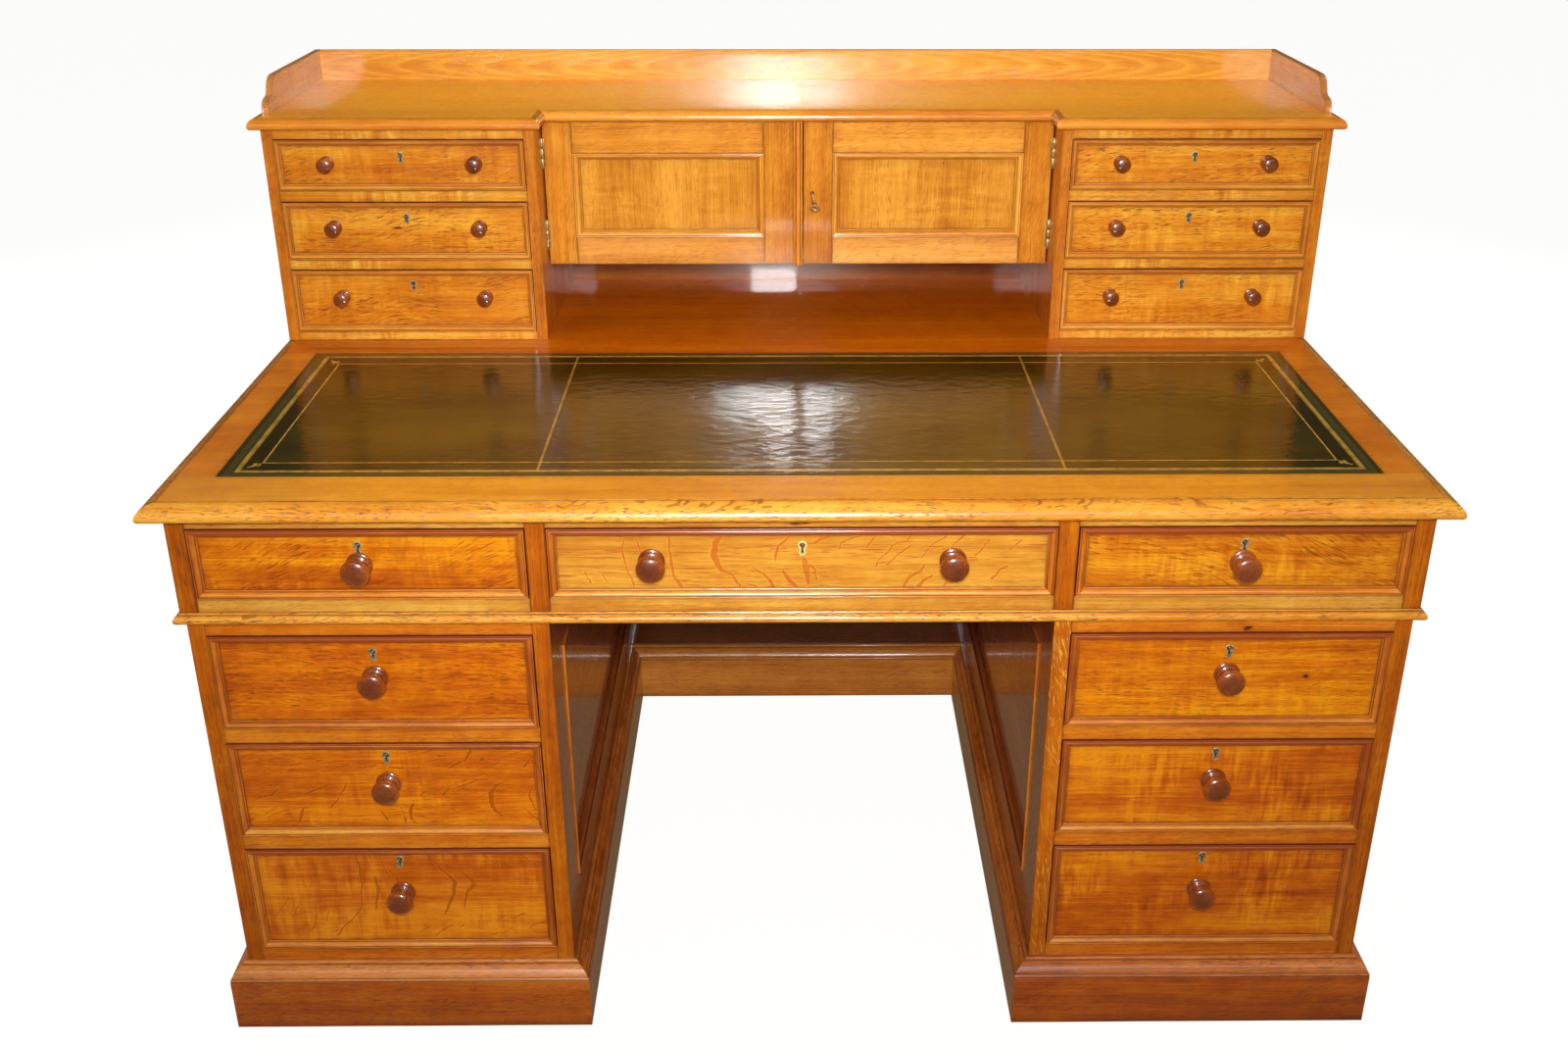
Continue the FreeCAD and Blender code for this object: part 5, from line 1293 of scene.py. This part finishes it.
# the board seen under the cupboard takes the shaded copy: painted shade
p.board(-WING_IN, WING_IN, 911, 916.2, TZ, 1075, PIGEON_SHADED, "x", 0.3, 0.0)
p.board(-WING_IN, WING_IN, 916, 921, TZ, 1075, AGED, "x", 0.3, 0.1)
for s in (-1, 1):
    p.board(s * (WING_IN + WING_T), s * (UP_X - 15), 911, 921, TZ, 1075, AGED, "x", 0.3, 0.0)
p.make()
p = Piece("upper_case_boards", "carcass", ["upper_boards"], "oak")
p.board(-WING_IN, WING_IN, 683, 911, 866, 882, TOP, "xt", 0.5, -0.3)
for s in (-1, 1):
    a, b = sorted((s * (WING_IN + WING_T), s * (UP_X - 15)))
    for z1 in (988.1, 888.0, 779.9):
        p.board(a, b, UP_Y + 21, 911, z1 - 8, z1, RAW, "xt", 0.3)
p.make()

UT, UZ = 15.0, 1075.0
TOPE = ([(0, 0, 0.5), (0, UT, 0.0), (1.2, UT, 0.0), (3.0, 14.8, 0.0)]
        + [(5.2, 14.2, 0.0), (7.4, 13.1, 0.0), (9.3, 11.4, 0.0), (10.8, 9.2, 0.0),
           (11.7, 6.8, 0.0), (12.0, 4.6, 0.0), (11.7, 2.8, 0.0), (10.9, 1.3, 0.1), (9.6, 0.3, 0.3),
           (8.4, 0.0, 0.7)])
E = 12.0
tx, ix = UP_X + 14 - E, WING_IN - 14 + 4 + E
wyf, cyf = UP_Y - 14 + E, 661.0 - 14 + E
p = Piece("upper_top_boards", "carcass", ["upper_top"], "oak")
sh = (21.0, 3.3, 8.8)
out = [(-tx, wyf), (-ix, wyf), (-ix, cyf), (ix, cyf), (ix, wyf), (tx, wyf), (tx, UP_BACK), (-tx, UP_BACK)]
flat = [Vector((x, y, 0)) for x, y in out]
pts = [(x, y, UZ + UT) for x, y in out] + [(x, y, UZ) for x, y in out]
faces = []
for t in tessellate_polygon([flat]):
    a, b, c = (out[k] for k in t)
    f = list(t) if (b[0] - a[0]) * (c[1] - a[1]) - (c[0] - a[0]) * (b[1] - a[1]) > 0 else list(t)[::-1]
    faces += [f, [k + 8 for k in f[::-1]]]
for i in range(8):
    j = (i + 1) % 8
    faces.append([i, j, j + 8, i + 8][::-1])
p.add(pts, faces, SHELF, "xt", 0.3, None, None, sh)
for s in (-1, 1):
    a, b = sorted((s * ix, s * tx))
    p.mould(TOPE, (a, wyf, UZ), (b, wyf, UZ), (0, -1, 0), UPZ, -1, 1, EDGE_UP, 0.1)
    p.mould(TOPE, (s * tx, wyf, UZ), (s * tx, UP_BACK, UZ), (s, 0, 0), UPZ, -1, 0, EDGE_UP, 0.0)
    p.mould(TOPE, (s * ix, wyf, UZ), (s * ix, cyf, UZ), (-s, 0, 0), UPZ, -1, -1, EDGE_UP, -0.2)
p.mould(TOPE, (-ix, cyf, UZ), (ix, cyf, UZ), (0, -1, 0), UPZ, 1, -1, EDGE_UP, 0.0)
p.make(55)

# gallery: back board and shaped ends, eased along the top
gz, gh, gx, gt = UZ + UT, 45.0, 753.0, 10.0
p = Piece("gallery_boards", "carcass", ["gallery"], "oak")
p.board(-gx + gt, gx - gt, 909.0, UP_BACK, gz, gz + gh - 1.6, FIGURED, "x", 0.2, 0.3, (0.0, -1.135, 0.0), None, 1)
p.board(-gx + gt, gx - gt, 909.3, UP_BACK - 0.3, gz + gh - 1.6, gz + gh, GALLERY_TOP, "x", 0.9, 0.3, None, None, 3)
END = [(UP_BACK, 0), (UP_BACK, gh), (690, gh), (682, gh), (675, 44.3), (669.5, 42.4), (664.5, 39.4),
       (660.6, 35.4), (657.6, 30.4), (655.4, 25.8), (652.4, 22.2), (648.2, 20.0), (643.0, 19.0),
       (638.0, 18.2), (633.2, 16.4), (629.6, 13.2), (627.2, 8.8), (625.8, 4.0), (625.4, 0)]
for s in (-1, 1):
    x0, x1 = s * (gx - gt), s * gx
    n = len(END)
    secs = []
    for x, k in ((x0, 1.2), (x0 + s * 1.2, 0.35), (x0 + s * 2.6, 0.0), (x1 - s * 2.6, 0.0),
                 (x1 - s * 1.2, 0.35), (x1, 1.2)):
        row = []
        for i, (y, z) in enumerate(END):
            py, pz = END[i - 1]
            ny, nz = END[(i + 1) % n]
            tyy, tzz = ny - py, nz - pz
            ln = math.hypot(tyy, tzz) or 1.0
            inn = (tzz / ln, -tyy / ln)
            if i in (0, n - 1):
                inn = (0, 0)
            if i == 1:
                inn = (-0.7, -0.7)
            row.append((x, y + inn[0] * k * (1 if i > 1 else 1), gz + z + inn[1] * k))
        secs.append(row)
    pts = [q for r_ in secs for q in r_]
    faces = [[k * n + i, k * n + (i + 1) % n, (k + 1) * n + (i + 1) % n, (k + 1) * n + i]
             for k in range(len(secs) - 1) for i in range(n)]
    faces += [list(range(n)), [len(pts) - n + i for i in range(n)][::-1]]
    p.add(pts, faces, GALLERY_END, "ys", 0.0)
p.make(42)

# --------------------------------------------------------------------- doors
DM = ([(0, 0, 1.0), (0, 8.8, 0.8)] + arc((0.7, 8.8), 0.7, 180, 90, 3, 0.1)
      + [(1.5, 9.5, 0.0), (2.0, 9.0, 0.8), (2.3, 8.7, 0.6)]
      + [(3.2, 8.9, 0.0), (4.4, 8.7, 0.0), (5.6, 7.9, 0.0), (6.6, 6.6, 0.0), (7.3, 5.0, 0.0),
         (7.7, 3.3, 0.2), (7.9, 2.2, 0.9), (8.3, 1.8, 0.5), (9.1, 1.6, 0.1), (9.6, 1.0, 0.4), (9.6, 0, 1.0)])
X0, X1, Z0, Z1 = 50.2, 326.6, 904.4, 1027.5
DZ0, DZ1, DY = 863.5, 1073.0, 661.0


def stile_edges(x0, x1):
    def f(q):
        return ((q[0] - x0) / 1000, (x1 - q[0]) / 1000, (q[2] - DZ0) / 1000, (DZ1 - q[2]) / 1000)
    return f


for side, s in (("left", -1), ("right", 1)):
    p = Piece(side + "_door_frame_and_panel", side + "_door", [side + "_door"], "oak")
    meet = -6.4 if s < 0 else 7.6
    a, b = sorted((s * X0, s * X1))
    # hinge stile, let in for the hinges at its outer edge
    xa, xb = s * X1, s * 367.8
    cuts = [DZ0, 888.0, 930.0, 1007.0, 1049.0, DZ1]
    p.board(xa, s * 366.3, DY, 681, DZ0, DZ1, DOOR, "z", 0.6, -0.25, (2.0 + s, 1.0, 3.0), stile_edges(min(xa, xb), max(xa, xb)))
    for k in (0, 2, 4):
        p.board(s * 366.0, xb, DY, 681, cuts[k], cuts[k + 1], DOOR, "z", 0.5, -0.25, (2.0 + s, 1.0, 3.0))
    if s < 0:
        p.board(-X0, meet, DY, 681, DZ0, DZ1, DOOR, "z", 0.4, -0.6, None,
                stile_edges(-X0, meet))
    else:
        hole = keyhole(20.7, 969.2, 2.9, 1.3, 9.0, 12)
        p.plate([(meet, DZ0), (X0, DZ0), (X0, DZ1), (meet, DZ1)], [hole], DY, 681, DOOR, "z",
                -0.6, None, stile_edges(meet, X0))
    # bottom rail in the paler copy: painted sheen
    p.board(a, b, DY, 681, DZ0, Z0, DOOR_LOW_SHEEN, "x", 0.4, 0.45, None, "y")
    p.board(a, b, DY, 681, Z1, DZ1, DOOR, "x", 0.4, 0.45, None, "y")

    def ped(q, a=a, b=b):
        return ((q[0] - a - 9.6) / 1000, (b - 9.6 - q[0]) / 1000, (q[2] - Z0 - 9.6) / 1000,
                (Z1 - 9.6 - q[2]) / 1000)
    p.board(a, b, 668, 675, Z0, Z1, PANEL, "z", 0.0, 0.3, None, ped)
    p.frame(DM, a, b, Z0, Z1, 668, MOULD_UP, 0.3)
    if s < 0:
        # reeded meeting bead: a round reed between two quirks and fillets
        sec = [(-6.4, 681, 0.6), (-6.4, 660.2, 0.5), (-6.0, 659.7, 0.0), (-4.6, 659.5, 0.0),
               (-4.0, 659.9, 0.7), (-3.6, 660.2, 1.0), (-3.2, 659.6, 0.6), (-2.6, 658.5, 0.0),
               (-1.6, 657.75, 0.0), (-0.1, 657.5, 0.0), (1.4, 657.75, 0.0), (2.4, 658.5, 0.0),
               (3.0, 659.6, 0.6), (3.4, 660.2, 1.0), (3.8, 659.9, 0.7), (4.4, 659.5, 0.0),
               (5.8, 659.7, 0.0), (6.2, 660.2, 0.5), (6.2, 676.0, 0.6), (4.6, 681, 0.6)]
        lev = [(860.0, 0.62, 2.0), (860.7, 0.84, 0.9), (861.9, 0.96, 0.3), (863.6, 1.0, 0.0), (DZ1, 1.0, 0.0)]
        pts, grime_and_shade = [], []
        for z, k, back in lev:
            for x, y, d in sec:
                pts.append((-0.1 + (x + 0.1) * k, y + back if y < 670 else y, z))
                grime_and_shade.append(d)
        n = len(sec)
        faces = [[k * n + i, k * n + (i + 1) % n, (k + 1) * n + (i + 1) % n, (k + 1) * n + i]
                 for k in range(len(lev) - 1) for i in range(n)]
        faces += [list(range(n)), [len(pts) - n + i for i in range(n)][::-1]]
        p.add(pts, faces, MOULD, "z", 0.2, grime_and_shade)
    else:
        # an old nail hole beside the right door's panel, a black disc whose dark is painted shade
        p.turn([(-0.2, 1.3, 1.0), (0.05, 1.15, 1.0), (0.05, 0.0, 1.0)], (211.6, 668, 1011.4), HOLE_SHADE, 12)
    p.make()

# ------------------------------------------------------------ hinges and key
p = Piece("hinge_fixed_leaves", "carcass", ["hinge_leaves"], "brass")
q = {"left": Piece("left_door_hinge_leaves", "left_door", ["left_door_hinges"], "brass"),
     "right": Piece("right_door_hinge_leaves", "right_door", ["right_door_hinges"], "brass")}
for side, s in (("left", -1), ("right", 1)):
    for hz in (909.0, 1028.0):
        za, zb = hz - 21, hz + 21
        c = s * 369.0
        p.board(s * 370.3, s * 371.5, 661.2, 680.3, za, zb, BRASS, "z", 0.15)
        for c0, c1 in ((za, za + 14), (zb - 14, zb)):
            p.board(s * 370.3, s * 371.5, 658.0, 661.4, c0, c1, BRASS, "z", 0.1)
            p.turn([(0, 2.1, 0), (0.35, 2.45, 0), (c1 - c0 - 0.35, 2.45, 0), (c1 - c0, 2.1, 0)],
                   (c, 658.0, c0), BRASS, 24, (0, 0, 1))
        p.turn([(0, 0.0, 0), (0.0, 1.3, 0), (0.9, 1.5, 0), (1.0, 1.5, 0)], (c, 658.0, za - 0.9), BRASS, 16, (0, 0, 1))
        p.turn([(0, 1.5, 0), (0.1, 1.5, 0), (0.8, 1.2, 0), (1.1, 0.0, 0)], (c, 658.0, zb), BRASS, 16, (0, 0, 1))
        m = q[side]
        m.board(s * 366.5, s * 367.7, 661.2, 680.3, za + 0.2, zb - 0.2, BRASS, "z", 0.15)
        m.board(s * 366.5, s * 367.7, 658.0, 661.4, za + 14.2, zb - 14.2, BRASS, "z", 0.1)
        m.turn([(0, 2.1, 0), (0.35, 2.45, 0), (13.25, 2.45, 0), (13.6, 2.1, 0)],
               (c, 658.0, za + 14.2), BRASS, 24, (0, 0, 1))
p.make(weighted=False)
for m in q.values():
    m.make(weighted=False)

p = Piece("cupboard_lock_case", "right_door", ["cupboard_lock"], "brass")
p.board(9.6, 46.0, 681.0, 693.0, 946, 1000, BRASS, "x", 0.8)
for x in (13.0, 42.6):
    for z in (950.0, 996.0):
        p.turn([(0, 1.9, 0), (0.5, 1.7, 0), (0.8, 0.9, 0), (0.8, 0.0, 0)], (x, 693.0, z), IRON, 14, (0, 1, 0))
hole = keyhole(20.7, 969.2, 2.7, 1.2, 8.5, 12)
# a black plate behind the keyhole: painted shade inside the hole
p.plate(hole, [], 679.6, 680.6, HOLE_SHADE, "x", 0.0)
p.make(weighted=False)

t, l = math.radians(12.0), math.radians(3.5)
kd = Vector((math.sin(l), -math.cos(t), -math.sin(t))).normalized()
kb = Vector((20.7, 661.0, 969.2))
p = Piece("cupboard_key", "key", ["key"], "steel")
st = kb - kd * 17.0
p.turn([(0, 0.0, 0), (0.0, 1.9, 0), (49.4, 2.1, 0), (50.4, 2.5, 0.3), (50.8, 2.4, 0.6),
        (51.4, 3.3, 0.0), (52.4, 4.0, 0.0), (53.4, 4.0, 0.0), (54.4, 3.3, 0.0), (55.0, 2.4, 0.6),
        (56.2, 2.2, 0.0), (58.5, 2.0, 0.0)], tuple(st), STEEL_WARM_REFLECTION, 24, tuple(kd))
# bow: an oval ring, flat on its back
bc = kb + kd * 47.2
side_v = Vector((0, 0, 1)).cross(kd).normalized()
nrm = kd.cross(side_v).normalized()
pts, faces = [], []
N1, N2 = 40, 10
for i in range(N1):
    a = TAU * i / N1
    cen = bc + side_v * (5.35 * math.cos(a)) + kd * (7.05 * math.sin(a))
    rad = (side_v * (math.cos(a) / 5.35) + kd * (math.sin(a) / 7.05)).normalized()
    for j in range(N2):
        b = TAU * j / N2
        pts.append(tuple(cen + rad * (1.8 * math.cos(b)) + nrm * (1.55 * math.sin(b))))
for i in range(N1):
    for j in range(N2):
        i2, j2 = (i + 1) % N1, (j + 1) % N2
        faces.append([i * N2 + j, i2 * N2 + j, i2 * N2 + j2, i * N2 + j2])
p.add(pts, faces, STEEL_WARM_REFLECTION, "x", 0.0)
p.make(weighted=False)

# hidden carcass boards keep their CAD shape and take raw oak
for name in ("frieze_interior", "case_backs", "pedestal_runners"):
    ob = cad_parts[name]
    ob.data.materials.clear()
    ob.data.materials.append(AGED_OBJ if name == "case_backs" else RAW_OBJ)

# ---------------------------------------------------------- floor and lights
fl = bpy.data.meshes.new("floor")
fl.from_pydata([(-9, -7, 0), (9, -7, 0), (9, 11, 0), (-9, 11, 0)], [], [(0, 1, 2, 3)])
floor = bpy.data.objects.new("floor", fl)
bpy.context.scene.collection.objects.link(floor)
n = Nodes("pale_floor")
n.set("Base Color", (0.12, 0.12, 0.119))
n.set("Roughness", 0.8)
n.set("Specular IOR Level", 0.0)
seen = n.t.nodes.new("ShaderNodeLightPath").outputs["Is Camera Ray"]
# for every ray but the camera's the floor glows a dim orange: a painted glow that lights the desk, though the floor
# is no lamp
n.set("Emission Color", n.mix(seen, (0.15, 0.072, 0.016), (0.94, 0.938, 0.925)))
n.set("Emission Strength", 1.0)
fl.materials.append(n.mat)

world = bpy.data.worlds.new("studio")
bpy.context.scene.world = world
world.use_nodes = True
wt = world.node_tree
wt.nodes.clear()
wo = wt.nodes.new("ShaderNodeOutputWorld")
lp = wt.nodes.new("ShaderNodeLightPath")
bg1 = wt.nodes.new("ShaderNodeBackground")
bg1.inputs[0].default_value = (1.0, 0.995, 0.98, 1)
bg1.inputs[1].default_value = 0.24
bg3 = wt.nodes.new("ShaderNodeBackground")
bg3.inputs[0].default_value = (1.0, 0.80, 0.46, 1)
bg3.inputs[1].default_value = 0.07
mg = wt.nodes.new("ShaderNodeMixShader")
bg2 = wt.nodes.new("ShaderNodeBackground")
bg2.inputs[0].default_value = (0.97, 0.97, 0.955, 1)
bg2.inputs[1].default_value = 1.0
mx = wt.nodes.new("ShaderNodeMixShader")
wt.links.new(lp.outputs["Is Camera Ray"], mx.inputs[0])
wt.links.new(lp.outputs["Is Glossy Ray"], mg.inputs[0])
wt.links.new(bg1.outputs[0], mg.inputs[1])
wt.links.new(bg3.outputs[0], mg.inputs[2])
wt.links.new(mg.outputs[0], mx.inputs[1])
wt.links.new(bg2.outputs[0], mx.inputs[2])
wt.links.new(mx.outputs[0], wo.inputs[0])


def area(name, loc, target, sx, sy, power, colour=(1, 1, 1)):
    d = bpy.data.lights.new(name, "AREA")
    d.shape = "RECTANGLE"
    d.size, d.size_y = sx, sy
    d.energy = power
    d.color = colour
    o = bpy.data.objects.new(name, d)
    bpy.context.scene.collection.objects.link(o)
    o.location = loc
    o.rotation_mode = "QUATERNION"
    o.rotation_quaternion = (Vector(target) - Vector(loc)).to_track_quat("-Z", "Y")
    return o


area("key_softbox", (-0.03, -2.22, 1.70), (0, 0.1, 0.66), 0.28, 0.20, 33, (1.0, 0.985, 0.96))
spot = area("key_centre", (0.02, -2.22, 1.62), (0, 0.25, 1.0), 0.30, 0.24, 4.5, (1.0, 0.985, 0.96))
spot.data.spread = math.radians(64)
spot.visible_glossy = False
over = area("fill_above", (0, -0.1, 3.1), (0, 0.1, 0.8), 2.6, 1.6, 13, (1, 0.99, 0.97))
over.visible_glossy = False
strip = area("strip_above", (0, -2.2, 2.2), (0, 0.1, 0.5), 4.2, 0.20, 9, (1, 0.985, 0.96))
strip.visible_diffuse = False
tall = area("key_low", (-0.06, -2.22, 1.56), (0, 0.2, 1.0), 0.15, 0.10, 8, (1, 0.985, 0.96))
tall.visible_diffuse = False
cool = area("key_sheen", (-0.03, -2.22, 1.70), (0, 0.1, 0.66), 0.36, 0.20, 44, (0.58, 0.88, 1.0))
cool.visible_diffuse = False
for k, sx in ((1, -1), (2, 1)):
    o = area("fill_rear_%d" % k, (sx * 2.6, 2.6, 1.9), (0, 0.2, 0.55), 1.8, 1.8, 55, (1, 0.99, 0.97))
    o.visible_glossy = False

# -------------------------------------------------------------------- camera
cam = bpy.data.cameras.new("photo_view")
co = bpy.data.objects.new("photo_view", cam)
bpy.context.scene.collection.objects.link(co)
yaw, pitch, roll, f = 0.01045, -0.43691, -0.00127, 1616.42
fwd = Vector((math.sin(yaw) * math.cos(pitch), math.cos(yaw) * math.cos(pitch), math.sin(pitch)))
right = Vector((math.cos(yaw), -math.sin(yaw), 0))
down = fwd.cross(right)
r = right * math.cos(roll) + down * math.sin(roll)
d = -right * math.sin(roll) + down * math.cos(roll)
u = -d
co.matrix_world = Matrix(((r.x, u.x, -fwd.x, -0.01802), (r.y, u.y, -fwd.y, (-1640.59 - Y_MID) / 1000),
                          (r.z, u.z, -fwd.z, 1.51243), (0, 0, 0, 1)))
cam.sensor_width = 36.0
cam.lens = f / 1600 * 36
cam.shift_x = -18.275 / 1600
cam.clip_end = 100
bpy.context.scene.camera = co

vs = bpy.context.scene.view_settings
vs.view_transform = "Standard"
vs.look = "None"
vs.exposure = 0.0
vs.gamma = 1.0
